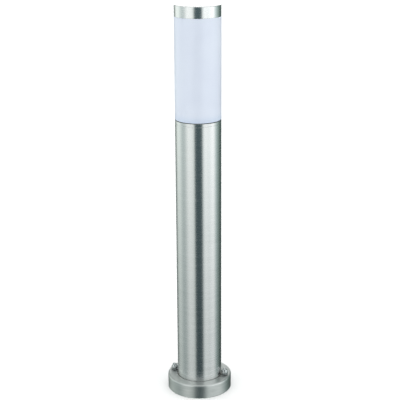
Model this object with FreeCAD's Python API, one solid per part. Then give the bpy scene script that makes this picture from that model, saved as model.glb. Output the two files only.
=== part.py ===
import FreeCAD, Part
import math
import os

# Bollard light for a garden path: a stainless post on a round base, with an opal head that
# lifts off over a screw-in lamp. Millimetres, +Z up. The origin is the centre of the base on
# the ground, the front faces -Y.

# ---- driving dimensions -------------------------------------------------------------------

POST_R = 38.05  # standard 76.1 mm tube
POST_WALL = 1.2
POST_LOW = 18.5  # lower end, inside the base
POST_TOP = 478.7  # the rim that the head stands on

BASE_R = 55.0
BASE_HEIGHT = 24.0
BASE_WALL = 1.5
BASE_RIM_ROUND = 2.5

PLATE_R = 52.0
PLATE_THICK = 3.0
PLATE_RISE = 5.0  # how far the plate's pressed centre stands off the ground
CABLE_HOLE_R = 8.0
CABLE_R = 4.5  # the grommet's own hole
ANCHOR_CIRCLE_R = 30.0
ANCHOR_HOLE_R = 3.5
ANCHOR_AZIMUTHS = (-90, 30, 150)

STUD_CIRCLE_R = 45.3
STUD_R = 3.0  # M6
NUT_FLATS = 10.0
STUD_AZIMUTHS = (-14.5, 165.5)

HEAD_R = 38.0
HEAD_WALL = 2.5
CAP_EDGE = 646.5
TOTAL_HEIGHT = 665.0
CAP_R = 37.9
CAP_WALL = 0.9
CAP_RIM_ROUND = 0.8
NECK_R = 33.5  # the part of the head that drops into the post
NECK_LOW = 460.0
GRUB_Z = 470.0
GRUB_AZIMUTHS = (30, 150)  # both behind, so that they push the head forward in its collar

COLLAR_LOW = 447.0
LEDGE_TOP = 455.0  # the shelf inside the collar that carries the lampholder bracket
BRACKET_TOP = LEDGE_TOP + 2.0

HOLDER_TOP = 506.0
LAMP_TIP = 477.0  # the lamp's centre contact
LAMP_CONTACT_R = 4.6
THREAD_PITCH = 3.629  # E27: seven turns to the inch
THREAD_R = 13.03
LAMP_R = 18.75
LAMP_TOP = 592.0

WIRE_R = 1.1
CLEAR = 0.3  # between pieces that move apart
RUNNING = 0.05  # between pieces that turn or slide in each other

TOP_OF_PLATE_CENTRE = PLATE_RISE + PLATE_THICK
POST_BORE_R = POST_R - POST_WALL
UP = FreeCAD.Vector(0, 0, 1)
CENTRE = FreeCAD.Vector(0, 0, 0)


# ---- helpers ------------------------------------------------------------------------------

def rod(radius, low, high, x=0.0, y=0.0):
    """An upright round bar at x, y."""
    return Part.makeCylinder(radius, high - low, FreeCAD.Vector(x, y, low))


def tube(outer, inner, low, high, x=0.0, y=0.0):
    """An upright round tube, ring or washer at x, y."""
    return rod(outer, low, high, x, y).cut(rod(inner, low - 1, high + 1, x, y))


def turned(outline):
    """A solid of revolution about the centre line, from a closed outline of (radius, height)."""
    points = [FreeCAD.Vector(radius, 0, height) for radius, height in outline]
    face = Part.Face(Part.makePolygon(points + points[:1]))
    return face.revolve(CENTRE, UP, 360)


def block(low, high):
    """A rectangular block between two opposite corners."""
    size = [high[i] - low[i] for i in range(3)]
    return Part.makeBox(*size, FreeCAD.Vector(*low))


def turn_to(shape, azimuth):
    """A copy of the shape, turned about the centre line from azimuth 0, along +X."""
    copy = shape.copy()
    copy.rotate(CENTRE, UP, azimuth)
    return copy


def around(shape, azimuths):
    """The same shape at each azimuth."""
    return [turn_to(shape, azimuth) for azimuth in azimuths]


def radial_rod(radius, inner, outer, height):
    """A round bar that lies along +X from one distance off the centre line to another."""
    start = FreeCAD.Vector(inner, 0, height)
    return Part.makeCylinder(radius, outer - inner, start, FreeCAD.Vector(1, 0, 0))


def hexagon(flats, low, high, x=0.0, y=0.0):
    """An upright hexagonal prism across the given flats."""
    corner = flats / math.sqrt(3)
    angles = [math.radians(60 * i) for i in range(6)]
    points = [FreeCAD.Vector(x + corner * math.cos(a), y + corner * math.sin(a), low) for a in angles]
    face = Part.Face(Part.makePolygon(points + points[:1]))
    return face.extrude(UP * (high - low))


def rim_edges(shape, height, radius):
    """The full circles of one radius at one height, for rounding a rim."""
    found = []
    for edge in shape.Edges:
        curve = edge.Curve
        if not isinstance(curve, Part.Circle):
            continue
        if abs(curve.Center.z - height) < 0.01 and abs(curve.Radius - radius) < 0.01:
            found.append(edge)
    return found


def cup(outer, wall, low, high, rounding):
    """A drawn sheet-metal cup, open below, with its top rim rounded outside and in."""
    skin = rod(outer, low, high)
    skin = skin.makeFillet(rounding, rim_edges(skin, high, outer))
    hollow = rod(outer - wall, low - 1, high - wall)
    inner_round = max(rounding - wall, 0.3)
    hollow = hollow.makeFillet(inner_round, rim_edges(hollow, high - wall, outer - wall))
    return skin.cut(hollow)


def wire_along(points, radius):
    """A round wire along straight runs that tangent arcs join, with no sharp turn."""
    places = [FreeCAD.Vector(*point) for point in points]
    edges = []
    start = places[0]
    for before, corner, after in zip(places, places[1:], places[2:]):
        back = before - corner
        onward = after - corner
        turn = math.pi - back.getAngle(onward)
        setback = 0.45 * min(back.Length, onward.Length)
        back.normalize()
        onward.normalize()
        arc_radius = setback / math.tan(turn / 2)
        arc_start = corner + back * setback
        arc_end = corner + onward * setback
        inward = (back + onward).normalize()
        depth = arc_radius / math.cos(turn / 2) - arc_radius
        edges.append(Part.LineSegment(start, arc_start).toShape())
        edges.append(Part.Arc(arc_start, corner + inward * depth, arc_end).toShape())
        start = arc_end
    edges.append(Part.LineSegment(start, places[-1]).toShape())
    path = Part.Wire(edges)
    first_run = places[1] - places[0]
    section = Part.Wire(Part.makeCircle(radius, places[0], first_run))
    return path.makePipeShell([section], True, False)


def pan_screw(radius, low, under_head, x=0.0, y=0.0):
    """An upright screw with a low round head and a straight driver slot."""
    head_r = radius * 1.9
    head_high = radius * 1.2
    head = rod(head_r, under_head, under_head + head_high, x, y)
    head = head.makeFillet(head_high * 0.45, rim_edges(head, under_head + head_high, head_r))
    slot_half = radius * 0.25
    slot = block(
        (x - head_r, y - slot_half, under_head + head_high * 0.5),
        (x + head_r, y + slot_half, under_head + head_high + 1),
    )
    return head.cut(slot).fuse(rod(radius, low, under_head, x, y)).removeSplitter()


def save(name, *shapes):
    """One STEP file for one node. Several like solids stay separate inside it."""
    whole = shapes[0] if len(shapes) == 1 else Part.makeCompound(list(shapes))
    if not whole.isValid():
        raise ValueError(name + " is not a valid shape")
    whole.exportStep("parts/" + name + ".step")


# ---- base ---------------------------------------------------------------------------------

def mounting_plate():
    """Galvanised disc that is screwed to the ground. Its pressed-up centre lifts the cable
    hole clear of the ground."""
    joggle = 5.0
    foot_r = 19.0
    plate = turned([
        (CABLE_HOLE_R, PLATE_RISE),
        (foot_r - joggle, PLATE_RISE),
        (foot_r - 1, 0),
        (PLATE_R, 0),
        (PLATE_R, PLATE_THICK),
        (foot_r, PLATE_THICK),
        (foot_r - joggle + 1, TOP_OF_PLATE_CENTRE),
        (CABLE_HOLE_R, TOP_OF_PLATE_CENTRE),
    ])
    hole = rod(ANCHOR_HOLE_R, -1, PLATE_THICK + 1, ANCHOR_CIRCLE_R)
    for one in around(hole, ANCHOR_AZIMUTHS):
        plate = plate.cut(one)
    return plate


def cable_grommet():
    """Rubber bush in the plate's hole, gripping the plate between two lips."""
    lip_r = CABLE_HOLE_R + 2.5
    lip = 1.3
    return turned([
        (CABLE_R, PLATE_RISE - lip),
        (lip_r, PLATE_RISE - lip),
        (lip_r, PLATE_RISE),
        (CABLE_HOLE_R, PLATE_RISE),
        (CABLE_HOLE_R, TOP_OF_PLATE_CENTRE),
        (lip_r, TOP_OF_PLATE_CENTRE),
        (lip_r - 0.8, TOP_OF_PLATE_CENTRE + lip),
        (CABLE_R, TOP_OF_PLATE_CENTRE + lip),
    ])


def base_flange():
    """Drawn stainless cup that hides the plate, with the post through its middle."""
    flange = cup(BASE_R, BASE_WALL, 0, BASE_HEIGHT, BASE_RIM_ROUND)
    flange = flange.cut(rod(POST_R, -1, BASE_HEIGHT + 1))
    stud_hole = rod(STUD_R + CLEAR, BASE_HEIGHT - 2 * BASE_WALL, BASE_HEIGHT + 1, STUD_CIRCLE_R)
    for hole in around(stud_hole, STUD_AZIMUTHS):
        flange = flange.cut(hole)
    return flange


def weld_bead():
    """Fillet weld under the flange, all round the post."""
    leg = 3.0
    roof = BASE_HEIGHT - BASE_WALL
    return turned([(POST_R, roof), (POST_R, roof - leg), (POST_R + leg, roof)])


RUBBER_THICK = 0.8
WASHER_THICK = 1.0
WASHER_R = 5.7
NUT_LOW = BASE_HEIGHT + RUBBER_THICK + WASHER_THICK
NUT_HEX = 4.2
NUT_CHAMFER = 0.6  # how far its top corners are taken in
NUT_DOME_R = 4.6
NUT_BORE = 7.0  # depth of the blind thread
STUD_FOOT = 1.2


def cap_nut():
    """Domed M6 nut: a chamfered hexagon with a round crown and a blind thread."""
    shoulder = NUT_LOW + NUT_HEX
    chamfer_r = NUT_FLATS / math.sqrt(3) - NUT_CHAMFER
    reach = NUT_HEX - 1
    slope_low = FreeCAD.Vector(STUD_CIRCLE_R, 0, shoulder - reach)
    slope = Part.makeCone(chamfer_r + reach, chamfer_r - 1, reach + 1, slope_low)
    hexa = hexagon(NUT_FLATS, NUT_LOW, shoulder + 1, STUD_CIRCLE_R).common(slope)
    crown = Part.makeSphere(NUT_DOME_R, FreeCAD.Vector(STUD_CIRCLE_R, 0, shoulder + 0.2))
    crown = crown.cut(rod(NUT_DOME_R + 1, NUT_LOW - 5, shoulder, STUD_CIRCLE_R))
    nut = hexa.fuse(crown)
    nut = nut.cut(rod(STUD_R, NUT_LOW - 1, NUT_LOW + NUT_BORE, STUD_CIRCLE_R))
    return nut.removeSplitter()


def mounting_stud():
    """M6 stud, welded to the plate by its wide foot."""
    foot = rod(1.5 * STUD_R, PLATE_THICK, PLATE_THICK + STUD_FOOT, STUD_CIRCLE_R)
    shank = rod(STUD_R, PLATE_THICK, NUT_LOW + NUT_BORE - 1, STUD_CIRCLE_R)
    return foot.fuse(shank).removeSplitter()


os.makedirs("parts", exist_ok=True)

washer_low = BASE_HEIGHT + RUBBER_THICK
rubber_washer = tube(WASHER_R + 0.1, STUD_R + 0.1, BASE_HEIGHT, washer_low, STUD_CIRCLE_R)
steel_washer = tube(WASHER_R, STUD_R + 0.2, washer_low, NUT_LOW, STUD_CIRCLE_R)

save("mounting_plate", mounting_plate())
save("cable_grommet", cable_grommet())
save("mounting_studs", *around(mounting_stud(), STUD_AZIMUTHS))
save("base_flange", base_flange())
save("flange_weld_bead", weld_bead())
save("stud_sealing_washers", *around(rubber_washer, STUD_AZIMUTHS))
save("stud_washers", *around(steel_washer, STUD_AZIMUTHS))
save("cap_nuts", *around(cap_nut(), STUD_AZIMUTHS))


# ---- terminal block inside the foot of the post ---------------------------------------------

TERMINAL_PITCH = 8.0
TERMINAL_X = (-TERMINAL_PITCH, 0.0, TERMINAL_PITCH)
BLOCK_FRONT = 8.0  # the screws' side, toward the middle of the post
BLOCK_BACK = 20.0
BLOCK_LOW = 32.0
BLOCK_TOP = 50.0
BLOCK_MIDDLE = (BLOCK_LOW + BLOCK_TOP) / 2
WIRE_Y = 15.0  # the row of wire tunnels
TUNNEL_R = 1.6
INSERT_WALL = 1.2
CLAMP_ROWS = (BLOCK_LOW + 4.5, BLOCK_TOP - 4.5)
CLAMP_SCREW_R = 1.2
CLAMP_HEAD_R = 1.9
BLOCK_SCREW_X = (-TERMINAL_PITCH / 2, TERMINAL_PITCH / 2)
BLOCK_SCREW_R = 1.0
BLOCK_SCREW_HEAD_R = 1.6
UPRIGHT_THICK = 1.5
UPRIGHT_HALF = 14.0
UPRIGHT_TOP = 58.0
FOOT_BACK = 32.0
RIVET_R = 1.6
RIVET_HEAD = 1.2
RIVET_Y = 27.0
RIVET_X = (-9.0, 9.0)
EARTH_Z = 15.0
EARTH_SCREW_R = 2.0  # M4
EARTH_SCREW_HEAD = 2.2
EARTH_NUT_FLATS = 7.0
EARTH_NUT_THICK = 3.2
TAG_R = 4.0
TAG_THICK = 0.8
BARREL_R = 1.7
BARREL_LOW = 20.5
BARREL_TOP = 24.0
BARREL_Y = BLOCK_BACK - BARREL_R


def level_rod(radius, x, z, front, back):
    """A bar along Y between two depths."""
    start = FreeCAD.Vector(x, front, z)
    return Part.makeCylinder(radius, back - front, start, FreeCAD.Vector(0, 1, 0))


def terminal_bracket():
    """Folded steel angle that stands the terminal block up from the plate."""
    fold = (-UPRIGHT_HALF, BLOCK_BACK, PLATE_THICK)
    foot = block(fold, (UPRIGHT_HALF, FOOT_BACK, PLATE_THICK + UPRIGHT_THICK))
    upright = block(fold, (UPRIGHT_HALF, BLOCK_BACK + UPRIGHT_THICK, UPRIGHT_TOP))
    bracket = foot.fuse(upright).removeSplitter()
    for x in RIVET_X:
        bracket = bracket.cut(rod(RIVET_R, 0, 2 * PLATE_THICK, x, RIVET_Y))
    for x in BLOCK_SCREW_X:
        bracket = bracket.cut(level_rod(BLOCK_SCREW_R, x, BLOCK_MIDDLE, BLOCK_FRONT, FOOT_BACK))
    return bracket.cut(level_rod(EARTH_SCREW_R, 0, EARTH_Z, BLOCK_FRONT, FOOT_BACK))


def bracket_rivet(x):
    """Domed rivet that holds the bracket's foot down on the plate."""
    under_head = PLATE_THICK + UPRIGHT_THICK
    top = under_head + RIVET_HEAD
    head_r = 1.75 * RIVET_R
    head = rod(head_r, under_head, top, x, RIVET_Y)
    head = head.makeFillet(RIVET_HEAD - 0.2, rim_edges(head, top, head_r))
    return head.fuse(rod(RIVET_R, PLATE_THICK, under_head, x, RIVET_Y)).removeSplitter()


def terminal_block():
    """Moulded strip with a wire tunnel and two screw wells for each of its terminals."""
    half = TERMINAL_PITCH * 1.5 + 0.5
    strip = block((-half, BLOCK_FRONT, BLOCK_LOW), (half, BLOCK_BACK, BLOCK_TOP))
    for x in TERMINAL_X:
        strip = strip.cut(rod(TUNNEL_R + INSERT_WALL, BLOCK_LOW - 1, BLOCK_TOP + 1, x, WIRE_Y))
        for z in CLAMP_ROWS:
            strip = strip.cut(level_rod(CLAMP_HEAD_R + 0.1, x, z, BLOCK_FRONT - 1, WIRE_Y))
    for x in BLOCK_SCREW_X:
        well = level_rod(BLOCK_SCREW_HEAD_R, x, BLOCK_MIDDLE, BLOCK_FRONT - 1, BLOCK_FRONT + 2)
        strip = strip.cut(well)
        strip = strip.cut(level_rod(BLOCK_SCREW_R, x, BLOCK_MIDDLE, BLOCK_FRONT, BLOCK_BACK + 1))
    return strip


def block_screw(x):
    """Small screw through the terminal block into its bracket."""
    under_head = BLOCK_FRONT + 2
    head = level_rod(BLOCK_SCREW_HEAD_R, x, BLOCK_MIDDLE, BLOCK_FRONT + 0.8, under_head)
    shank = level_rod(BLOCK_SCREW_R, x, BLOCK_MIDDLE, under_head, BLOCK_BACK + 4)
    return head.fuse(shank).removeSplitter()


def terminal_insert(x):
    """Brass tube in one tunnel, tapped for its two clamping screws."""
    body = tube(TUNNEL_R + INSERT_WALL, TUNNEL_R, BLOCK_LOW + 1, BLOCK_TOP - 1, x, WIRE_Y)
    for z in CLAMP_ROWS:
        body = body.cut(level_rod(CLAMP_SCREW_R, x, z, BLOCK_FRONT, WIRE_Y))
    return body


def clamp_screw(x, z):
    """Slotted clamping screw that bears on the wire."""
    head_front = BLOCK_FRONT + 1.4
    under_head = BLOCK_FRONT + 3.2
    head = level_rod(CLAMP_HEAD_R, x, z, head_front, under_head)
    slot_half = 0.3
    slot = block(
        (x - CLAMP_HEAD_R, BLOCK_FRONT, z - slot_half),
        (x + CLAMP_HEAD_R, head_front + 0.8, z + slot_half),
    )
    shank = level_rod(CLAMP_SCREW_R, x, z, under_head, WIRE_Y - WIRE_R)
    return head.cut(slot).fuse(shank).removeSplitter()


def earth_tag():
    """Ring terminal on the bracket, with the barrel that is crimped on the earth wire."""
    front = BLOCK_BACK - TAG_THICK
    ring = level_rod(TAG_R, 0, EARTH_Z, front, BLOCK_BACK)
    tongue = block((-BARREL_R, front, EARTH_Z), (BARREL_R, BLOCK_BACK, BARREL_LOW + 1))
    barrel = rod(BARREL_R, BARREL_LOW, BARREL_TOP, 0, BARREL_Y)
    tag = ring.fuse(tongue).fuse(barrel).removeSplitter()
    tag = tag.cut(rod(WIRE_R, BARREL_LOW + 1, BARREL_TOP + 1, 0, BARREL_Y))
    return tag.cut(level_rod(EARTH_SCREW_R, 0, EARTH_Z, BLOCK_FRONT, BLOCK_BACK + 1))


def earth_screw():
    """M4 screw through the ring terminal and the bracket."""
    under_head = BLOCK_BACK - TAG_THICK
    head = level_rod(1.8 * EARTH_SCREW_R, 0, EARTH_Z, under_head - EARTH_SCREW_HEAD, under_head)
    shank = level_rod(EARTH_SCREW_R, 0, EARTH_Z, under_head, FOOT_BACK - 4)
    return head.fuse(shank).removeSplitter()


def earth_nut():
    """M4 nut behind the bracket."""
    back = BLOCK_BACK + UPRIGHT_THICK
    nut = hexagon(EARTH_NUT_FLATS, 0, EARTH_NUT_THICK)
    nut = nut.cut(rod(EARTH_SCREW_R, -1, EARTH_NUT_THICK + 1))
    nut.rotate(CENTRE, FreeCAD.Vector(1, 0, 0), -90)
    nut.translate(FreeCAD.Vector(0, back, EARTH_Z))
    return nut


save("terminal_bracket", terminal_bracket())
save("bracket_rivets", *[bracket_rivet(x) for x in RIVET_X])
save("terminal_block", terminal_block())
save("block_screws", *[block_screw(x) for x in BLOCK_SCREW_X])
save("terminal_inserts", *[terminal_insert(x) for x in TERMINAL_X])
save("clamp_screws", *[clamp_screw(x, z) for x in TERMINAL_X for z in CLAMP_ROWS])
save("earth_tag", earth_tag())
save("earth_screw", earth_screw())
save("earth_nut", earth_nut())


# ---- post and the collar in its mouth --------------------------------------------------------

COLLAR_BORE_R = NECK_R + 0.6
LEDGE_BORE_R = 24.0
INSERT_R = 3.0
GRUB_R = 2.0  # M4
BRACKET_HALF = 31.5
BRACKET_WIDE = 20.0
BRACKET_SCREW_R = 1.5
BRACKET_SCREW_X = (-27.5, 27.5)
NIPPLE_R = 5.0  # M10 x 1
NIPPLE_BORE_R = 3.8
LOCKNUT_THICK = 3.0
LOCKNUT_FLATS = 14.0
NIPPLE_LOW = LEDGE_TOP - 6.0
NIPPLE_TOP = BRACKET_TOP + 5.0
GASKET_THICK = 0.8
RIM_LINE_BELOW = 5.2  # from the post's rim to the line that its sizing roll leaves
RIM_LINE_HALF = 0.4
RIM_LINE_DEEP = 0.25


def post_tube():
    """Brushed stainless tube, with two clearance holes for the grub screws. The roll that
    sizes its mouth to the collar leaves a fine line just below the rim."""
    post = tube(POST_R, POST_BORE_R, POST_LOW, POST_TOP)
    line_z = POST_TOP - RIM_LINE_BELOW
    line_r = POST_R - RIM_LINE_DEEP
    post = post.cut(tube(POST_R + 1, line_r, line_z - RIM_LINE_HALF, line_z + RIM_LINE_HALF))
    hole = radial_rod(GRUB_R + 0.15, POST_BORE_R - 1, POST_R + 1, GRUB_Z)
    for one in around(hole, GRUB_AZIMUTHS):
        post = post.cut(one)
    return post


def holder_collar():
    """Moulded ring glued in the post's mouth. The head's neck drops into it, and its ledge
    carries the lampholder's bracket."""
    lead_in = 0.5
    collar = turned([
        (LEDGE_BORE_R, COLLAR_LOW),
        (POST_BORE_R, COLLAR_LOW),
        (POST_BORE_R, POST_TOP),
        (COLLAR_BORE_R + lead_in, POST_TOP),
        (COLLAR_BORE_R, POST_TOP - lead_in),
        (COLLAR_BORE_R, LEDGE_TOP),
        (LEDGE_BORE_R, LEDGE_TOP),
    ])
    seat = radial_rod(INSERT_R, COLLAR_BORE_R - 1, POST_R, GRUB_Z)
    for hole in around(seat, GRUB_AZIMUTHS):
        collar = collar.cut(hole)
    for x in BRACKET_SCREW_X:
        collar = collar.cut(rod(BRACKET_SCREW_R, COLLAR_LOW + 2, LEDGE_TOP + 1, x))
    return collar


def thread_insert():
    """Brass bush moulded into the collar, tapped M4."""
    shell = radial_rod(INSERT_R, COLLAR_BORE_R + 0.1, POST_BORE_R - 0.3, GRUB_Z)
    return shell.cut(radial_rod(GRUB_R, COLLAR_BORE_R - 1, POST_R, GRUB_Z))


def grub_screw():
    """Socket set screw. It stops the head from lifting or turning."""
    outer = POST_R - 0.2
    key_depth = 1.8
    screw = radial_rod(GRUB_R, NECK_R + 0.15, outer, GRUB_Z)
    socket = hexagon(GRUB_R, 0, key_depth + 1)
    socket.rotate(CENTRE, FreeCAD.Vector(0, 1, 0), 90)
    socket.translate(FreeCAD.Vector(outer - key_depth, 0, GRUB_Z))
    return screw.cut(socket)


def holder_bracket():
    """Flat steel bar across the collar's ledge."""
    half = BRACKET_WIDE / 2
    bar = block((-BRACKET_HALF, -half, LEDGE_TOP), (BRACKET_HALF, half, BRACKET_TOP))
    bar = bar.cut(rod(NIPPLE_R, LEDGE_TOP - 1, BRACKET_TOP + 1))
    for x in BRACKET_SCREW_X:
        bar = bar.cut(rod(BRACKET_SCREW_R, LEDGE_TOP - 1, BRACKET_TOP + 1, x))
    return bar


def locknut():
    """Thin hexagon nut that pulls the lampholder's nipple down on the bracket."""
    low = LEDGE_TOP - LOCKNUT_THICK
    return hexagon(LOCKNUT_FLATS, low, LEDGE_TOP).cut(rod(NIPPLE_R, low - 1, LEDGE_TOP + 1))


save("post_tube", post_tube())
save("holder_collar", holder_collar())
save("seat_gasket", tube(POST_R - 0.4, COLLAR_BORE_R + 0.5, POST_TOP, POST_TOP + GASKET_THICK))
save("thread_inserts", *around(thread_insert(), GRUB_AZIMUTHS))
save("grub_screws", *around(grub_screw(), GRUB_AZIMUTHS))
save("holder_bracket", holder_bracket())
bracket_screws = [pan_screw(BRACKET_SCREW_R, COLLAR_LOW + 3, BRACKET_TOP, x) for x in BRACKET_SCREW_X]
save("bracket_screws", *bracket_screws)
save("holder_nipple", tube(NIPPLE_R, NIPPLE_BORE_R, NIPPLE_LOW, NIPPLE_TOP))
save("nipple_locknut", locknut())


# ---- lampholder -----------------------------------------------------------------------------

SHELL_BORE_R = THREAD_R + CLEAR
SHELL_WALL = 0.6
SHELL_R = SHELL_BORE_R + SHELL_WALL
SHELL_LOW = 478.5
SHELL_TOP = HOLDER_TOP - 2.5
SOCKET_FLOOR = 472.0
HOLDER_R = 20.0
HOLDER_FOOT_R = 14.0
CHAMBER_R = 10.5
CHAMBER_FLOOR = BRACKET_TOP + 3.0
CHAMBER_ROOF = 467.0
CONTACT_X = 4.8
CONTACT_RIVET_R = 1.5
CONTACT_HEAD_R = 2.4
CONTACT_HEAD_THICK = 1.6
STRIP_HALF = 2.0


def thread_rings(crest, root, low, high):
    """Outline points of rolled thread rings, from the lowest ring up."""
    points = []
    for i in range(int((high - low) / THREAD_PITCH)):
        base = low + i * THREAD_PITCH
        points.append((root, base))
        points.append((crest, base + 0.35 * THREAD_PITCH))
        points.append((crest, base + 0.65 * THREAD_PITCH))
    points.append((root, points[-1][1] + 0.35 * THREAD_PITCH))
    return points


def folded_strip(path, thick, half_width):
    """A flat metal strip folded along a path of (x, z) points, centred on y = 0."""
    places = [FreeCAD.Vector(x, 0, z) for x, z in path]
    sideways = FreeCAD.Vector(0, 1, 0)
    left = []
    right = []
    for i, place in enumerate(places):
        into = (place - places[i - 1]) if i > 0 else (places[1] - place)
        out = (places[i + 1] - place) if i < len(places) - 1 else into
        mitre = (into.normalize() + out.normalize()).normalize()
        shift = sideways.cross(mitre) * (thick / 2 / mitre.dot(out))
        left.append(place + shift)
        right.append(place - shift)
    outline = left + right[::-1]
    face = Part.Face(Part.makePolygon(outline + outline[:1]))
    face.translate(sideways * -half_width)
    return face.extrude(sideways * (2 * half_width))


def lampholder_body():
    """Glazed porcelain lampholder. Its foot holds a wire chamber, and its socket the shell."""
    lip = 1.5
    body = turned([
        (NIPPLE_R, BRACKET_TOP),
        (HOLDER_FOOT_R, BRACKET_TOP),
        (HOLDER_FOOT_R, SOCKET_FLOOR - 3),
        (HOLDER_R, SOCKET_FLOOR + 2),
        (HOLDER_R, HOLDER_TOP - lip),
        (HOLDER_R - lip, HOLDER_TOP),
        (SHELL_R + lip, HOLDER_TOP),
        (SHELL_R, HOLDER_TOP - lip),
        (SHELL_R, SOCKET_FLOOR),
        (0, SOCKET_FLOOR),
        (0, CHAMBER_ROOF),
        (CHAMBER_R, CHAMBER_ROOF),
        (CHAMBER_R, CHAMBER_FLOOR),
        (NIPPLE_R, CHAMBER_FLOOR),
    ])
    for x in (-CONTACT_X, CONTACT_X):
        body = body.cut(rod(CONTACT_RIVET_R, CHAMBER_ROOF - 1, SOCKET_FLOOR + 1, x))
    return body


def lampholder_shell():
    """Plated brass screw shell with rolled thread rings."""
    rings = thread_rings(SHELL_BORE_R + 0.3, SHELL_BORE_R, SHELL_LOW + 1, SHELL_TOP - 1)
    outline = [(SHELL_BORE_R, SHELL_LOW)] + rings
    outline += [(SHELL_BORE_R, SHELL_TOP), (SHELL_R, SHELL_TOP), (SHELL_R, SHELL_LOW)]
    return turned(outline)


def shell_strap():
    """Brass strip from the shell's rim down to its contact rivet."""
    thick = 0.8
    floor = SOCKET_FLOOR + thick / 2
    rim = SHELL_LOW - thick / 2
    path = [(-CONTACT_X + 2, floor), (-11.0, floor), (-11.0, rim), (-SHELL_BORE_R - 0.2, rim)]
    return folded_strip(path, thick, STRIP_HALF)


def centre_contact():
    """Sprung brass tongue under the tip of the lamp."""
    thick = 0.6
    floor = SOCKET_FLOOR + thick / 2
    crown = LAMP_TIP - CLEAR - thick / 2
    path = [
        (CONTACT_X + 2, floor),
        (CONTACT_X - 1.5, floor),
        (1.5, crown),
        (-2.0, crown),
        (-4.0, crown - 1.2),
    ]
    return folded_strip(path, thick, STRIP_HALF)


def contact_rivet(x):
    """Brass rivet that carries current up through the socket's floor."""
    head = rod(CONTACT_HEAD_R, CHAMBER_ROOF - CONTACT_HEAD_THICK, CHAMBER_ROOF, x)
    return head.fuse(rod(CONTACT_RIVET_R, CHAMBER_ROOF, SOCKET_FLOOR, x)).removeSplitter()


save("lampholder_body", lampholder_body())
save("lampholder_shell", lampholder_shell())
save("shell_strap", shell_strap())
save("centre_contact", centre_contact())
save("contact_rivets", contact_rivet(-CONTACT_X), contact_rivet(CONTACT_X))


# ---- inner wires ----------------------------------------------------------------------------

NIPPLE_WIRE_X = 2.5
WIRE_BEND_LOW = 370.0
WIRE_BEND_TOP = 430.0
WIRE_TOP = CHAMBER_ROOF - CONTACT_HEAD_THICK


def lamp_wire(x, nipple_x):
    """One core up from its terminal, across to the nipple and up to its contact rivet."""
    route = [
        (x, WIRE_Y, CLAMP_ROWS[0] + 3),
        (x, WIRE_Y, WIRE_BEND_LOW),
        (nipple_x, 0, WIRE_BEND_TOP),
        (nipple_x, 0, WIRE_TOP),
    ]
    return wire_along(route, WIRE_R)


def earth_wire():
    """Short core from the middle terminal down to the ring terminal."""
    route = [
        (0, WIRE_Y, CLAMP_ROWS[1]),
        (0, WIRE_Y, BLOCK_LOW - 0.5),
        (0, BARREL_Y, BARREL_TOP + 2.3),
        (0, BARREL_Y, BARREL_LOW + 1),
    ]
    return wire_along(route, WIRE_R)


save("live_wire", lamp_wire(TERMINAL_X[2], NIPPLE_WIRE_X))
save("neutral_wire", lamp_wire(TERMINAL_X[0], -NIPPLE_WIRE_X))
save("earth_wire", earth_wire())


# ---- lamp -----------------------------------------------------------------------------------

CONTACT_TOP = LAMP_TIP + 1.8
INSULATOR_TOP = 483.0
CAP_TOP = 506.8  # upper rim of the lamp's screw cap
THREAD_ROOT_R = 12.3
CAP_BORE_R = 11.7
HOUSING_LOW = 490.0
HOUSING_TOP = 530.0
BOARD_LOW = 525.0
BOARD_THICK = 1.6
DRIVER_HALF = 8.0
BULB_WALL = 1.2
LED_COUNT = 6
LED_CIRCLE_R = 10.0
LED_SIZE = 2.8
LED_THICK = 0.8


def lamp_contact():
    """Soldered centre contact."""
    return turned([
        (0, LAMP_TIP),
        (0.65 * LAMP_CONTACT_R, LAMP_TIP + 0.2),
        (LAMP_CONTACT_R, LAMP_TIP + 1.2),
        (LAMP_CONTACT_R, CONTACT_TOP),
        (0, CONTACT_TOP),
    ])


def lamp_insulator():
    """Black glass cone between the two contacts."""
    return turned([
        (0, CONTACT_TOP),
        (LAMP_CONTACT_R, CONTACT_TOP),
        (CAP_BORE_R, INSULATOR_TOP),
        (0, INSULATOR_TOP),
    ])


def lamp_screw_cap():
    """Plated screw cap with rolled thread rings."""
    rings = thread_rings(THREAD_R, THREAD_ROOT_R, INSULATOR_TOP + 0.5, CAP_TOP - 4)
    outline = [(CAP_BORE_R, INSULATOR_TOP), (THREAD_ROOT_R, INSULATOR_TOP)] + rings
    outline += [(THREAD_ROOT_R, CAP_TOP), (CAP_BORE_R, CAP_TOP)]
    return turned(outline)


def lamp_housing():
    """Moulded funnel between the screw cap and the bulb."""
    wall = 1.5
    flare = 521.0
    plug_r = CAP_BORE_R - RUNNING
    shoulder = CAP_TOP + RUNNING
    return turned([
        (plug_r, HOUSING_LOW),
        (plug_r, shoulder),
        (THREAD_ROOT_R + 0.8, shoulder),
        (LAMP_R, flare),
        (LAMP_R, HOUSING_TOP),
        (LAMP_R - wall, HOUSING_TOP),
        (LAMP_R - wall, flare + 0.5),
        (plug_r - wall, shoulder + 0.5),
        (plug_r - wall, HOUSING_LOW),
    ])


def driver_board():
    """Circuit board that stands in the housing."""
    half = BOARD_THICK / 2
    return block((-DRIVER_HALF, -half, HOUSING_LOW + 4), (DRIVER_HALF, half, BOARD_LOW - 6))


def led(azimuth):
    """One square light source on the board."""
    half = LED_SIZE / 2
    low = BOARD_LOW + BOARD_THICK
    chip = block((LED_CIRCLE_R - half, -half, low), (LED_CIRCLE_R + half, half, low + LED_THICK))
    return turn_to(chip, azimuth)


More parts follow.
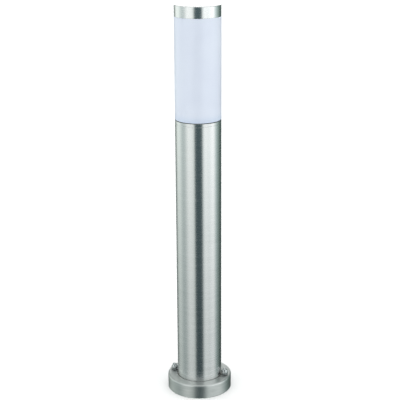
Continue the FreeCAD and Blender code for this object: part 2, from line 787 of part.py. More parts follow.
def lamp_bulb():
    """Opal envelope, a round-ended tube open below."""
    dome_centre = LAMP_TOP - LAMP_R
    inner = LAMP_R - BULB_WALL
    ball = Part.makeSphere(LAMP_R, UP * dome_centre)
    hollow = Part.makeSphere(inner, UP * dome_centre).fuse(rod(inner, HOUSING_TOP - 1, dome_centre))
    return ball.fuse(rod(LAMP_R, HOUSING_TOP, dome_centre)).cut(hollow).removeSplitter()


save("lamp_contact", lamp_contact())
save("lamp_insulator", lamp_insulator())
save("lamp_screw_cap", lamp_screw_cap())
save("lamp_housing", lamp_housing())
save("lamp_driver_board", driver_board())
save("led_board", rod(LAMP_R - 1.5, BOARD_LOW, BOARD_LOW + BOARD_THICK))
save("led_chips", *[led(360 / LED_COUNT * i) for i in range(LED_COUNT)])
save("lamp_bulb", lamp_bulb())


# ---- head -----------------------------------------------------------------------------------

SEAT_Z = POST_TOP + GASKET_THICK + CLEAR
SPIGOT_R = CAP_R - CAP_WALL - RUNNING  # the diffuser's reduced top, inside the cap
PAD_THICK = 1.8
PAD_LOW = TOTAL_HEIGHT - CAP_WALL - PAD_THICK
RING_SECTION_R = 0.8
RING_Z = 476.5
RING_R = NECK_R - RING_SECTION_R + 0.35
GROOVE_R = RING_R - RING_SECTION_R - 0.05
GROOVE_HALF = RING_SECTION_R + 0.1


def diffuser():
    """Opal moulding in one piece: a neck that drops into the post, a body flush with the
    post, and a closed top that carries the cap."""
    neck_bore = NECK_R - HEAD_WALL
    body_bore = HEAD_R - HEAD_WALL
    spigot_bore = SPIGOT_R - HEAD_WALL
    shoulder_in = SEAT_Z + HEAD_WALL
    return turned([
        (neck_bore, NECK_LOW),
        (NECK_R - 0.5, NECK_LOW),
        (NECK_R, NECK_LOW + 0.5),
        (NECK_R, RING_Z - GROOVE_HALF),
        (GROOVE_R, RING_Z - GROOVE_HALF),
        (GROOVE_R, RING_Z + GROOVE_HALF),
        (NECK_R, RING_Z + GROOVE_HALF),
        (NECK_R, SEAT_Z),
        (HEAD_R, SEAT_Z),
        (HEAD_R, CAP_EDGE),
        (SPIGOT_R, CAP_EDGE),
        (SPIGOT_R, PAD_LOW),
        (0, PAD_LOW),
        (0, PAD_LOW - HEAD_WALL),
        (spigot_bore, PAD_LOW - HEAD_WALL),
        (spigot_bore, CAP_EDGE - 1.5),
        (body_bore, CAP_EDGE - 3.0),
        (body_bore, shoulder_in + 2.0),
        (neck_bore, shoulder_in),
    ])


neck_ring = Part.makeTorus(RING_R, RING_SECTION_R, UP * RING_Z)

save("diffuser", diffuser())
save("neck_o_ring", neck_ring)
save("cap_pad", rod(SPIGOT_R - 3, PAD_LOW, PAD_LOW + PAD_THICK))
save("top_cap", cup(CAP_R, CAP_WALL, CAP_EDGE, TOTAL_HEIGHT, CAP_RIM_ROUND))
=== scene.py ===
import math

import bmesh
import bpy
import numpy as np
from mathutils import Matrix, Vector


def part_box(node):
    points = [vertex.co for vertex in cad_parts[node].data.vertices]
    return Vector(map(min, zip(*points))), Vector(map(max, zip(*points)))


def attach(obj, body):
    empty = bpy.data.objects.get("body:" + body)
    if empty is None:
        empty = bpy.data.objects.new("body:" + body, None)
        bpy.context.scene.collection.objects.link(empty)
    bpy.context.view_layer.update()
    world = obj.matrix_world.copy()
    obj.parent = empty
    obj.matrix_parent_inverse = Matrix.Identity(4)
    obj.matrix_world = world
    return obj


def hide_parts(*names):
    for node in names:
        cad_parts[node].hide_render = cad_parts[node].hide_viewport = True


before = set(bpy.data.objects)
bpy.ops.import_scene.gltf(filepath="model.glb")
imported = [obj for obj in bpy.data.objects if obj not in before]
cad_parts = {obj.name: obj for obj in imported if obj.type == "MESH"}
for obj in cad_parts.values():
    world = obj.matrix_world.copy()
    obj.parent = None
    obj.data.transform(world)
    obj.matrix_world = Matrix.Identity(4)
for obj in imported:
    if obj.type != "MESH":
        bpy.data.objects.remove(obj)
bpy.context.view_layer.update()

# A garden bollard light, built from the ground up: the plate that is screwed to the paving, the
# base and its nuts, the terminals inside, the post, the lampholder, the lamp and the head.
# Metres, +Z up, the front faces -Y. Sizes are in millimetres and azimuths in degrees from +X.


# ---- Mounting plate ----
# A disc of 3 mm steel with its middle pressed up, punched for three ground screws and dipped
# in zinc. Everything else stands on it.

MM = 0.001


def srgb(code):
    """A hex colour as the linear colour that a shader takes."""
    channels = [int(code[i:i + 2], 16) / 255 for i in (0, 2, 4)]
    return [c / 12.92 if c <= 0.04045 else ((c + 0.055) / 1.055) ** 2.4 for c in channels] + [1.0]


def add(tree, kind, links=None, stops=None, **settings):
    """Adds a node with its settings. links maps each input, by name or number, to a value or
    to the output of another node, and stops are a colour ramp's places and hex colours."""
    node = tree.nodes.new(kind)
    for name, value in settings.items():
        setattr(node, name, value)
    for place, value in (links or {}).items():
        socket = node.inputs[place]
        if isinstance(value, bpy.types.NodeSocket):
            tree.links.new(value, socket)
        else:
            socket.default_value = value
    for i, (place, code) in enumerate(stops or ()):
        elements = node.color_ramp.elements
        element = elements[i] if i < len(elements) else elements.new(place)
        element.position = place
        element.color = srgb(code)
    return node


def bare_material(name, **sockets):
    """A new material with inputs of its shader set. Returns it, its tree and its shader."""
    material = bpy.data.materials.new(name)
    material.use_nodes = True
    shader = material.node_tree.nodes["Principled BSDF"]
    for socket, value in sockets.items():
        shader.inputs[socket.replace("_", " ")].default_value = value
    return material, material.node_tree, shader


def give_skin(tree, shader, shade, spread, tones, gloss, roughness, relief, depth):
    """Drives a shader. Its colour runs through three tones, spread apart, as shade rises. Its
    roughness runs between two values as gloss rises. relief stands depth mm high."""
    stops = zip((0.5 - spread, 0.5, 0.5 + spread), tones)
    tone = add(tree, "ShaderNodeValToRGB", {"Fac": shade}, stops=stops)
    rough = add(
        tree, "ShaderNodeMapRange",
        {"Value": gloss, "From Min": 0.3, "From Max": 0.7, "To Min": roughness[0], "To Max": roughness[1]},
    )
    bump = add(tree, "ShaderNodeBump", {"Distance": depth * MM, "Height": relief})
    tree.links.new(tone.outputs[0], shader.inputs["Base Color"])
    tree.links.new(rough.outputs[0], shader.inputs["Roughness"])
    tree.links.new(bump.outputs[0], shader.inputs["Normal"])


def finish_of(name, tones, roughness, grain, depth, clouds, crystals=False, **sockets):
    """The material of one finish. Its colour drifts between three tones, over clouds or over
    crystals of that size. grain is the width of its finest texture and depth its height.
    All are in mm."""
    material, tree, shader = bare_material(name, **sockets)
    place = add(tree, "ShaderNodeTexCoord").outputs["Object"]
    fine = add(tree, "ShaderNodeTexNoise", {"Vector": place, "Scale": 1 / (grain * MM), "Detail": 3.0})
    if crystals:
        broad = add(tree, "ShaderNodeTexVoronoi", {"Vector": place, "Scale": 1 / (clouds * MM)})
    else:
        broad = add(tree, "ShaderNodeTexNoise", {"Vector": place, "Scale": 1 / (clouds * MM), "Detail": 4.0})
    broad_value = broad.outputs["Color"] if crystals else broad.outputs["Fac"]
    both = add(tree, "ShaderNodeMix", {0: 0.35, 2: broad_value, 3: fine.outputs["Fac"]}).outputs[0]
    give_skin(tree, shader, both, 0.16, tones, both, roughness, fine.outputs["Fac"], depth)
    return material


def extent(node):
    """A CAD node's lowest and highest corners, in mm."""
    return [np.array(corner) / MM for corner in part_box(node)]


def rounded(outline):
    """An outline's points with its corners turned into arcs. Each corner is (radius, height)
    or (radius, height, rounding). A point is kept close to each end of an arc, so that the
    flat beside it shades flat."""
    points = []
    count = len(outline)
    for i, corner in enumerate(outline):
        here = np.array(corner[:2])
        size = corner[2] if len(corner) > 2 else 0.0
        if size <= 0:
            points.append(here)
            continue
        into = here - np.array(outline[i - 1][:2])
        out = np.array(outline[(i + 1) % count][:2]) - here
        into = into / np.linalg.norm(into)
        out = out / np.linalg.norm(out)
        turn = math.acos(max(-1.0, min(1.0, float(into @ out))))
        setback = size * math.tan(turn / 2)
        start = here - into * setback
        end = here + out * setback
        bisector = out - into
        middle = here + bisector / np.linalg.norm(bisector) * size / math.cos(turn / 2)
        steps = max(3, int(math.degrees(turn) / 15))
        points.append(start - into * min(0.2, setback))
        for k in range(steps + 1):
            share = k / steps
            a = start - middle
            b = end - middle
            swing = (a * math.sin((1 - share) * turn) + b * math.sin(share * turn)) / math.sin(turn)
            points.append(middle + swing)
        points.append(end + out * min(0.2, setback))
    return points


def geometry_tree(name, **inputs):
    """A geometry tree with named inputs and nothing else yet. Returns it and its inputs."""
    tree = bpy.data.node_groups.new(name, "GeometryNodeTree")
    tree.interface.new_socket("Geometry", in_out="OUTPUT", socket_type="NodeSocketGeometry")
    for label, kind in inputs.items():
        tree.interface.new_socket(label.replace("_", " "), in_out="INPUT", socket_type="NodeSocket" + kind)
    return tree, add(tree, "NodeGroupInput").outputs


def end_tree(tree, geometry, surface):
    """Ends a geometry tree: its instances are made real and take their material."""
    real = add(tree, "GeometryNodeRealizeInstances", {"Geometry": geometry})
    dressed = add(tree, "GeometryNodeSetMaterial", {"Geometry": real.outputs[0], "Material": surface})
    add(tree, "NodeGroupOutput", {0: dressed.outputs[0]})


def set_out(name, mesh):
    """An object for a mesh, put in the scene."""
    thing = bpy.data.objects.new(name, mesh)
    bpy.context.scene.collection.objects.link(thing)
    return thing


SHARP = 32  # degrees past which an edge shades sharp


def grow(name, tree, values, sharp=SHARP):
    """The plain closed mesh that a geometry tree makes from the values of its named inputs."""
    seed = set_out("seed", bpy.data.meshes.new("seed"))
    modifier = seed.modifiers.new("tree", "NODES")
    modifier.node_group = tree
    for item in tree.interface.items_tree:
        if item.in_out == "INPUT" and item.name in values:
            modifier[item.identifier] = values[item.name]
    graph = bpy.context.evaluated_depsgraph_get()
    mesh = bpy.data.meshes.new_from_object(seed.evaluated_get(graph))
    bpy.data.objects.remove(seed)
    shape = bmesh.new()
    shape.from_mesh(mesh)
    bmesh.ops.delete(shape, geom=[edge for edge in shape.edges if edge.is_wire], context="EDGES")
    bmesh.ops.recalc_face_normals(shape, faces=shape.faces)
    shape.to_mesh(mesh)
    shape.free()
    mesh.name = name
    mesh.shade_smooth()
    mesh.set_sharp_from_angle(angle=math.radians(sharp))
    return set_out(name, mesh)


# The tree behind every turned piece. It wraps a grid round the centre line: its columns are
# angles, its rows the outline's points. Rows at the thread's radius also rise and fall along a
# helix, which gives screw threads and, with many starts, ripples.
turning, given = geometry_tree(
    "turning", Outline="Object", Segments="Int", Surface="Material",
    Thread_radius="Float", Thread_depth="Float", Thread_pitch="Float", Thread_starts="Float",
    Thread_low="Float", Thread_high="Float",
)
outline = add(turning, "GeometryNodeObjectInfo", {"Object": given["Outline"]}).outputs["Geometry"]
row_count = add(turning, "GeometryNodeAttributeDomainSize", {0: outline}).outputs["Point Count"]
columns = add(turning, "ShaderNodeMath", {0: given["Segments"], 1: 1.0}, operation="ADD")
rows = add(turning, "ShaderNodeMath", {0: row_count, 1: 1.0}, operation="ADD")
grid = add(
    turning, "GeometryNodeMeshGrid",
    {"Size X": 1.0, "Size Y": 1.0, "Vertices X": columns.outputs[0], "Vertices Y": rows.outputs[0]},
)
here = add(turning, "GeometryNodeInputPosition").outputs[0]
on_grid = add(turning, "ShaderNodeSeparateXYZ", {0: here})
share = add(turning, "ShaderNodeMath", {0: on_grid.outputs["X"], 1: 0.5}, operation="ADD")
angle = add(turning, "ShaderNodeMath", {0: share.outputs[0], 1: 2 * math.pi}, operation="MULTIPLY")
climb = add(turning, "ShaderNodeMath", {0: on_grid.outputs["Y"], 1: 0.5}, operation="ADD")
row = add(turning, "ShaderNodeMath", {0: climb.outputs[0], 1: row_count}, operation="MULTIPLY")
whole_row = add(turning, "ShaderNodeMath", {0: row.outputs[0]}, operation="ROUND")
index = add(turning, "ShaderNodeMath", {0: whole_row.outputs[0], 1: row_count}, operation="MODULO")
sample = add(
    turning, "GeometryNodeSampleIndex",
    {"Geometry": outline, "Value": here, "Index": index.outputs[0]}, data_type="FLOAT_VECTOR",
)
point = add(turning, "ShaderNodeSeparateXYZ", {0: sample.outputs[0]})
radius = point.outputs["X"]
height = point.outputs["Z"]
along = add(turning, "ShaderNodeMath", {0: height, 1: given["Thread pitch"]}, operation="DIVIDE")
around = add(
    turning, "ShaderNodeMath", {0: share.outputs[0], 1: given["Thread starts"]}, operation="MULTIPLY",
)
phase = add(turning, "ShaderNodeMath", {0: along.outputs[0], 1: around.outputs[0]}, operation="SUBTRACT")
swing = add(turning, "ShaderNodeMath", {0: phase.outputs[0], 1: 2 * math.pi}, operation="MULTIPLY")
wave = add(turning, "ShaderNodeMath", {0: swing.outputs[0]}, operation="COSINE")
FLATS = 0.8  # the wave is cut off here, so that crests and roots are flat
crest = add(turning, "ShaderNodeMapRange", {"Value": wave.outputs[0], "From Min": -FLATS, "From Max": FLATS})
threaded = add(
    turning, "ShaderNodeMath", {0: radius, 1: given["Thread radius"], 2: 0.02 * MM}, operation="COMPARE",
)
half_pitch = add(turning, "ShaderNodeMath", {0: given["Thread pitch"], 1: 0.5}, operation="MULTIPLY")
run_in = add(turning, "ShaderNodeMath", {0: given["Thread low"], 1: half_pitch.outputs[0]}, operation="ADD")
run_out = add(
    turning, "ShaderNodeMath", {0: given["Thread high"], 1: half_pitch.outputs[0]}, operation="SUBTRACT",
)
starting = add(
    turning, "ShaderNodeMapRange",
    {"Value": height, "From Min": given["Thread low"], "From Max": run_in.outputs[0]},
)
ending = add(
    turning, "ShaderNodeMapRange",
    {"Value": height, "From Min": given["Thread high"], "From Max": run_out.outputs[0]},
)
lift = crest.outputs[0]
for factor in (threaded, starting, ending):
    lift = add(turning, "ShaderNodeMath", {0: lift, 1: factor.outputs[0]}, operation="MULTIPLY").outputs[0]
reach = add(
    turning, "ShaderNodeMath", {0: lift, 1: given["Thread depth"], 2: radius}, operation="MULTIPLY_ADD",
)
cosine = add(turning, "ShaderNodeMath", {0: angle.outputs[0]}, operation="COSINE")
sine = add(turning, "ShaderNodeMath", {0: angle.outputs[0]}, operation="SINE")
x = add(turning, "ShaderNodeMath", {0: reach.outputs[0], 1: cosine.outputs[0]}, operation="MULTIPLY")
y = add(turning, "ShaderNodeMath", {0: reach.outputs[0], 1: sine.outputs[0]}, operation="MULTIPLY")
place = add(turning, "ShaderNodeCombineXYZ", {"X": x.outputs[0], "Y": y.outputs[0], "Z": height})
wrapped = add(turning, "GeometryNodeSetPosition", {"Geometry": grid.outputs[0], "Position": place.outputs[0]})
closed = add(turning, "GeometryNodeMergeByDistance", {"Geometry": wrapped.outputs[0], "Distance": 1e-6})
end_tree(turning, closed.outputs[0], given["Surface"])


def drawn_line(points, closed=False):
    """A line through points in mm, for a tree to read."""
    mesh = bpy.data.meshes.new("line")
    ends = [(i, i + 1) for i in range(len(points) - 1)]
    if closed:
        ends.append((len(points) - 1, 0))
    mesh.from_pydata([[value * MM for value in point] for point in points], ends, [])
    return set_out("line", mesh)


def turned(name, outline, surface, segments=160, **thread):
    """A solid turned about the centre line from a closed outline of corners in mm, with a
    thread on the rows at its radius if one is given."""
    line = drawn_line([(max(r, 0.0), 0.0, z) for r, z in rounded(outline)], closed=True)
    values = {"Outline": line, "Segments": segments, "Surface": surface}
    values.update({"Thread radius": -1.0, "Thread pitch": 1.0, "Thread starts": 1.0})
    for label, size in thread.items():
        values["Thread " + label] = size if label == "starts" else size * MM
    thing = grow(name, turning, values)
    bpy.data.objects.remove(line)
    return thing


def upright(radius, low, high, step):
    """Corners close together up one radius, for a thread or ripples to bend."""
    count = int((high - low) / step)
    return [(radius, low + (high - low) * i / count) for i in range(count + 1)]


def bake(thing, kind, **settings):
    """Works a modifier with those settings into a piece's mesh."""
    modifier = thing.modifiers.new("finish", kind)
    for name, value in settings.items():
        setattr(modifier, name, value)
    graph = bpy.context.evaluated_depsgraph_get()
    mesh = bpy.data.meshes.new_from_object(thing.evaluated_get(graph))
    thing.modifiers.remove(modifier)
    mesh.name = thing.data.name
    thing.data = mesh


def drill(thing, holes):
    """Drills round holes through a piece, each (radius, start, end) in mm."""
    shape = bmesh.new()
    for radius, start, end in holes:
        start = np.array(start, float)
        way = np.array(end, float) - start
        tip = Matrix.Rotation(math.atan2(math.hypot(way[0], way[1]), way[2]), 4, "Y")
        turn = Matrix.Rotation(math.atan2(way[1], way[0]), 4, "Z")
        middle = Matrix.Translation([*((start + way / 2) * MM)])
        bmesh.ops.create_cone(
            shape, cap_ends=True, segments=32, radius1=radius * MM, radius2=radius * MM,
            depth=np.linalg.norm(way) * MM, matrix=middle @ turn @ tip,
        )
    bmesh.ops.recalc_face_normals(shape, faces=shape.faces)
    mesh = bpy.data.meshes.new("cutter")
    shape.to_mesh(mesh)
    shape.free()
    cutter = set_out("cutter", mesh)
    bake(thing, "BOOLEAN", operation="DIFFERENCE", solver="EXACT", object=cutter)
    bpy.data.objects.remove(cutter)
    thing.data.set_sharp_from_angle(angle=math.radians(SHARP))


def polar(radius, azimuth, height):
    """A point in mm at an azimuth in degrees."""
    turn = math.radians(azimuth)
    return radius * math.cos(turn), radius * math.sin(turn), height


def finish_piece(thing, body, slot, *nodes):
    """Gives a new piece its body and hides the CAD nodes that it stands for. slot is not used."""
    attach(thing, body)
    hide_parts(*nodes)


# Hot-dip galvanised steel: zinc left to freeze in crystals some 5 mm across, each of its own
# grey, dull between bright.
galvanised = finish_of(
    "hot_dip_galvanised_steel", ("92989b", "a5abae", "b4b9bb"), (0.38, 0.58), grain=0.5, depth=0.015,
    clouds=5.0, crystals=True, Metallic=1.0,
)

PLATE_THICK = 3.0
PLATE_RISE = 5.0  # of its middle
PLATE_HOLE_R = 8.0
FOOT_R = 19.0  # where it comes down to the ground
SLOPE_R = 14.0
plate_r = extent("mounting_plate")[1][0]
plate = turned("mounting_plate_steel", [
    (PLATE_HOLE_R, PLATE_RISE, 0.3),
    (SLOPE_R, PLATE_RISE, 1.2),
    (FOOT_R - 1, 0.0, 1.2),
    (plate_r, 0.0, 0.3),
    (plate_r, PLATE_THICK, 0.5),
    (FOOT_R, PLATE_THICK, 1.2),
    (SLOPE_R + 1, PLATE_RISE + PLATE_THICK, 1.2),
    (PLATE_HOLE_R, PLATE_RISE + PLATE_THICK, 0.3),
], galvanised, segments=96)
ANCHOR_AZIMUTHS = (-90, 30, 150)
ANCHOR_CIRCLE_R = 30.0
ANCHOR_HOLE_R = 3.5
drill(plate, [
    (ANCHOR_HOLE_R, polar(ANCHOR_CIRCLE_R, a, -1.0), polar(ANCHOR_CIRCLE_R, a, PLATE_THICK + 1))
    for a in ANCHOR_AZIMUTHS
])
finish_piece(plate, "post", "galvanised_steel", "mounting_plate")


# ---- Cable grommet ----
# A black rubber bush snapped into the plate's hole, so that its punched edge can't cut the
# supply cable. Moulded, with a seam of flash at its lips.

# Black rubber: matt and slightly grey with bloom, with a fine orange peel from its mould.
rubber = finish_of(
    "black_moulded_rubber", ("141515", "1b1c1c", "252626"), (0.6, 0.82), grain=0.35, depth=0.03,
    clouds=8.0, Specular_IOR_Level=0.4,
)
bush_low, bush_high = extent("cable_grommet")
CABLE_R = 4.5
bush = turned("cable_bush", [
    (CABLE_R, bush_low[2], 0.4),
    (bush_high[0], bush_low[2], 0.5),
    (bush_high[0], PLATE_RISE, 0.2),
    (PLATE_HOLE_R, PLATE_RISE),
    (PLATE_HOLE_R, PLATE_RISE + PLATE_THICK),
    (bush_high[0], PLATE_RISE + PLATE_THICK, 0.2),
    (bush_high[0] - 0.8, bush_high[2], 0.5),
    (CABLE_R, bush_high[2], 0.4),
], rubber, segments=64)
finish_piece(bush, "post", "black_rubber", "cable_grommet")


# ---- Studs, washers and cap nuts ----
# Two M6 studs stand welded on the plate. Each comes up through the base and takes a rubber
# washer, a steel one and a domed nut that keeps the rain off its thread.

# The tree behind like pieces in a ring: one item, repeated at equal steps of angle.
ring, given = geometry_tree(
    "ring_of_like_pieces", Item="Object", Count="Int", Circle_radius="Float", First_angle="Float",
    Angle_step="Float", Surface="Material",
)
number = add(ring, "GeometryNodeInputIndex").outputs[0]
angle = add(
    ring, "ShaderNodeMath", {0: number, 1: given["Angle step"], 2: given["First angle"]},
    operation="MULTIPLY_ADD",
).outputs[0]
cosine = add(ring, "ShaderNodeMath", {0: angle}, operation="COSINE")
sine = add(ring, "ShaderNodeMath", {0: angle}, operation="SINE")
way = add(ring, "ShaderNodeCombineXYZ", {"X": cosine.outputs[0], "Y": sine.outputs[0]})
spot = add(ring, "ShaderNodeVectorMath", {0: way.outputs[0], 3: given["Circle radius"]}, operation="SCALE")
spots = add(ring, "GeometryNodePoints", {"Count": given["Count"], "Position": spot.outputs[0]})
facing = add(ring, "ShaderNodeCombineXYZ", {"Z": angle})
item = add(ring, "GeometryNodeObjectInfo", {"Object": given["Item"]})
placed = add(
    ring, "GeometryNodeInstanceOnPoints",
    {"Points": spots.outputs[0], "Instance": item.outputs["Geometry"], "Rotation": facing.outputs[0]},
)
end_tree(ring, placed.outputs[0], given["Surface"])


def ring_of(name, item, surface, circle_r, azimuths, sharp=SHARP):
    """The same piece at azimuths that are equal steps apart, as one mesh."""
    step = azimuths[1] - azimuths[0]
    thing = grow(name, ring, {
        "Item": item, "Count": len(azimuths), "Circle radius": circle_r * MM, "Surface": surface,
        "First angle": math.radians(azimuths[0]), "Angle step": math.radians(step),
    }, sharp)
    bpy.data.objects.remove(item)
    return thing


def joined(pieces):
    """One mesh from several separate solids. The first piece takes the others in."""
    shape = bmesh.new()
    for piece in pieces:
        shape.from_mesh(piece.data)
    for piece in pieces[1:]:
        bpy.data.objects.remove(piece)
    shape.to_mesh(pieces[0].data)
    shape.free()
    return pieces[0]


ROUNDED_SHARP = 42  # the same for a piece whose edges are rounded


def rounded_edges(thing, width):
    """Takes a small radius to a piece's sharp edges."""
    limit = math.radians(SHARP)
    bake(thing, "BEVEL", width=width * MM, segments=2, limit_method="ANGLE", angle_limit=limit)
    thing.data.shade_smooth()
    thing.data.set_sharp_from_angle(angle=math.radians(ROUNDED_SHARP))
    return thing


def flat_ring(inner, outer, low, high, inner_edge, outer_edge):
    """The outline of a flat ring, or of a disc if inner is 0, with its edges' roundings."""
    return [
        (inner, low, inner_edge), (outer, low, outer_edge),
        (outer, high, outer_edge), (inner, high, inner_edge),
    ]


def dome_outline(radius, height, steps):
    """Points up a quarter circle, from its side to the centre line."""
    turns = [math.radians(90 * i / steps) for i in range(steps + 1)]
    return [(radius * math.cos(a), height + radius * math.sin(a)) for a in turns]


# Zinc-plated steel: bright, with the faint blue of its passivation.
zinc_plated = finish_of(
    "zinc_plated_steel", ("a9adb3", "bcc0c4", "c9c9c4"), (0.2, 0.36), grain=0.4, depth=0.006,
    clouds=4.0, Metallic=1.0,
)
# Polished stainless: cold-formed and tumbled bright, with fine handling marks.
polished = finish_of(
    "tumbled_bright_stainless", ("b4b8ba", "c4c8c9", "d0d3d4"), (0.13, 0.26), grain=0.5, depth=0.006,
    clouds=3.0, Metallic=1.0,
)

STUD_AZIMUTHS = (-14.5, 165.5)
STUD_CIRCLE_R = 45.3
STUD_R = 3.0
STUD_FOOT_TOP = 4.2
METRIC_THREAD = {"depth": 0.6, "pitch": 1.0}  # of M6, and of the lampholder's M10 x 1
stud_root_r = STUD_R - METRIC_THREAD["depth"]
nut_low = extent("cap_nuts")[0]
stud_top = extent("mounting_studs")[1][2]
stud = turned("stud", [
    (0.0, PLATE_THICK),
    (1.5 * STUD_R, PLATE_THICK, 0.3),
    (1.5 * STUD_R, STUD_FOOT_TOP, 0.4),
    *upright(stud_root_r, STUD_FOOT_TOP, stud_top - 0.6, 0.16),
    (STUD_R - 1.0, stud_top),
    (0.0, stud_top),
], zinc_plated, segments=24, radius=stud_root_r, low=STUD_FOOT_TOP + 0.8, high=stud_top - 0.6,
    **METRIC_THREAD)
studs = ring_of("ground_studs", stud, zinc_plated, STUD_CIRCLE_R, STUD_AZIMUTHS)
finish_piece(studs, "post", "zinc_plated_steel", "mounting_studs")

WASHER_BORE_R = STUD_R + 0.15
for name, node, surface, slot, edge in (
    ("sealing_washers", "stud_sealing_washers", rubber, "black_rubber", 0.3),
    ("bright_washers", "stud_washers", polished, "polished_stainless", 0.15),
):
    low, high = extent(node)
    outer = (high[1] - low[1]) / 2 - STUD_CIRCLE_R * math.sin(math.radians(-STUD_AZIMUTHS[0]))
    outline = flat_ring(WASHER_BORE_R, outer, low[2], high[2], 0.05, edge)
    washer = turned("washer", outline, surface, segments=48)
    washers = ring_of(name, washer, surface, STUD_CIRCLE_R, STUD_AZIMUTHS)
    finish_piece(washers, "post", slot, node)

NUT_CORNER_R = 10.0 / math.sqrt(3)  # from its width across flats
NUT_HEX = 4.2
NUT_CHAMFER = 0.6
DOME_R = 4.6
nut_shoulder = nut_low[2] + NUT_HEX
nut_hexagon = turned("nut", [
    (0.0, nut_low[2]),
    (NUT_CORNER_R - 0.3, nut_low[2]),
    (NUT_CORNER_R, nut_low[2] + 0.3),
    (NUT_CORNER_R, nut_shoulder - NUT_CHAMFER),
    (NUT_CORNER_R - NUT_CHAMFER, nut_shoulder),
    (0.0, nut_shoulder),
], polished, segments=6)
dome = turned("dome", [
    (0.0, nut_shoulder - 0.5),
    (DOME_R, nut_shoulder - 0.5),
    *dome_outline(DOME_R, nut_shoulder + 0.2, 8),
], polished, segments=40)
cap_nut = joined([rounded_edges(nut_hexagon, 0.3), dome])
cap_nuts = ring_of("domed_cap_nuts", cap_nut, polished, STUD_CIRCLE_R, STUD_AZIMUTHS, ROUNDED_SHARP)
finish_piece(cap_nuts, "post", "polished_stainless", "cap_nuts")


# ---- Base cover ----
# A shallow cup drawn from stainless sheet, pushed over the foot of the post and welded to it
# from below. It was spun against a fine belt, so its grain runs round it on the side and in
# rings on the top.


def brushed_stainless(name, line, streak, tones, depth, roughness, smear):
    """Stainless sheet or tube, ground with a belt that ran round it. The grain lies across the
    height, so highlights smear up and down and stay sharper from side to side. The real lines
    are about 0.1 mm apart, too fine to show, so they are drawn as wide as line says, in mm.
    streak is how far round one runs."""
    material, tree, shader = bare_material(
        name, Metallic=1.0, Anisotropic=smear, Anisotropic_Rotation=0.25,
    )
    place = add(tree, "ShaderNodeTexCoord").outputs["Object"]
    parts = add(tree, "ShaderNodeSeparateXYZ", {0: place})
    flat = add(tree, "ShaderNodeCombineXYZ", {"X": parts.outputs["X"], "Y": parts.outputs["Y"]})
    reach = add(tree, "ShaderNodeVectorMath", {0: flat.outputs[0]}, operation="LENGTH")
    across = add(
        tree, "ShaderNodeMath", {0: parts.outputs["Z"], 1: reach.outputs["Value"]}, operation="ADD",
    )
    # fine lines, and coarser and shorter ones over them
    noises = []
    for width, length in ((line, streak), (line * 3.7, streak * 0.4)):
        row = add(tree, "ShaderNodeMath", {0: across.outputs[0], 1: 1 / (width * MM)}, operation="MULTIPLY")
        along = 1 / (length * MM)
        scaled = add(tree, "ShaderNodeVectorMath", {0: flat.outputs[0], 3: along}, operation="SCALE")
        split = add(tree, "ShaderNodeSeparateXYZ", {0: scaled.outputs[0]})
        spot = add(
            tree, "ShaderNodeCombineXYZ",
            {"X": split.outputs["X"], "Y": split.outputs["Y"], "Z": row.outputs[0]},
        )
        noise = add(tree, "ShaderNodeTexNoise", {"Vector": spot.outputs[0], "Scale": 1.0, "Detail": 3.0})
        noises.append(noise.outputs["Fac"])
    cloud = add(tree, "ShaderNodeTexNoise", {"Vector": place, "Scale": 14.0, "Detail": 2.0})
    lines = add(tree, "ShaderNodeMix", {0: 0.4, 2: noises[0], 3: noises[1]}).outputs[0]
    shade = add(tree, "ShaderNodeMix", {0: 0.25, 2: lines, 3: cloud.outputs["Fac"]}).outputs[0]
    give_skin(tree, shader, shade, 0.14, tones, lines, roughness, lines, depth)
    tangent = add(tree, "ShaderNodeTangent", direction_type="RADIAL", axis="Z")
    tree.links.new(tangent.outputs[0], shader.inputs["Tangent"])
    return material


base_steel = brushed_stainless(
    "belt_ground_stainless_base", 1.3, 45.0, ("c6cac8", "d0d3d1", "dadcdb"), 0.004, (0.33, 0.42), 0.5,
)
base_r, base_top = extent("base_flange")[1][[0, 2]]
post_low, post_high = extent("post_tube")
post_r = post_high[0]
SHEET = 1.5
SHADOW_GAP = 0.9  # between the cover's hole and the post, above the weld
cover = turned("base_cover", [
    (base_r - SHEET, 0.0, 0.3),
    (base_r, 0.0, 0.5),
    (base_r, base_top, 2.3),
    (post_r + SHADOW_GAP, base_top, 0.7),
    (post_r + SHADOW_GAP, base_top - SHEET, 0.2),
    (base_r - SHEET, base_top - SHEET, 1.0),
], base_steel, segments=192)
drill(cover, [
    (STUD_R + 0.3, polar(STUD_CIRCLE_R, a, base_top - 3), polar(STUD_CIRCLE_R, a, base_top + 1))
    for a in STUD_AZIMUTHS
])
finish_piece(cover, "post", "brushed_stainless", "base_flange")

# The weld: stainless filler laid from below, left unground, straw and blue from its heat.
weld_metal = finish_of(
    "unground_weld_metal", ("6f6a72", "94897c", "b0aba4"), (0.3, 0.5), grain=1.2, depth=0.08,
    clouds=14.0, Metallic=1.0,
)
bead_low, bead_high = extent("flange_weld_bead")
leg = 0.55 * (bead_high[2] - bead_low[2])
RIPPLES = {"starts": 72.0, "depth": 0.35, "pitch": 40.0}  # the pitch makes them lean a little
bead = turned("weld_bead", [
    (post_r, bead_high[2]),
    (post_r, bead_low[2] + 0.4),
    *upright(post_r + leg, bead_high[2] - leg, bead_high[2] - 0.1, 0.3),
], weld_metal, segments=288, radius=post_r + leg, low=bead_low[2] - RIPPLES["pitch"],
    high=bead_high[2] + RIPPLES["pitch"], **RIPPLES)
finish_piece(bead, "post", "weld_metal", "flange_weld_bead")


# ---- Terminals in the foot of the post ----
# A folded steel angle on two rivets stands the nylon terminal strip up from the plate. Brass
# tubes in it take the wires, and slotted screws clamp them. The earth tag is screwed below it.


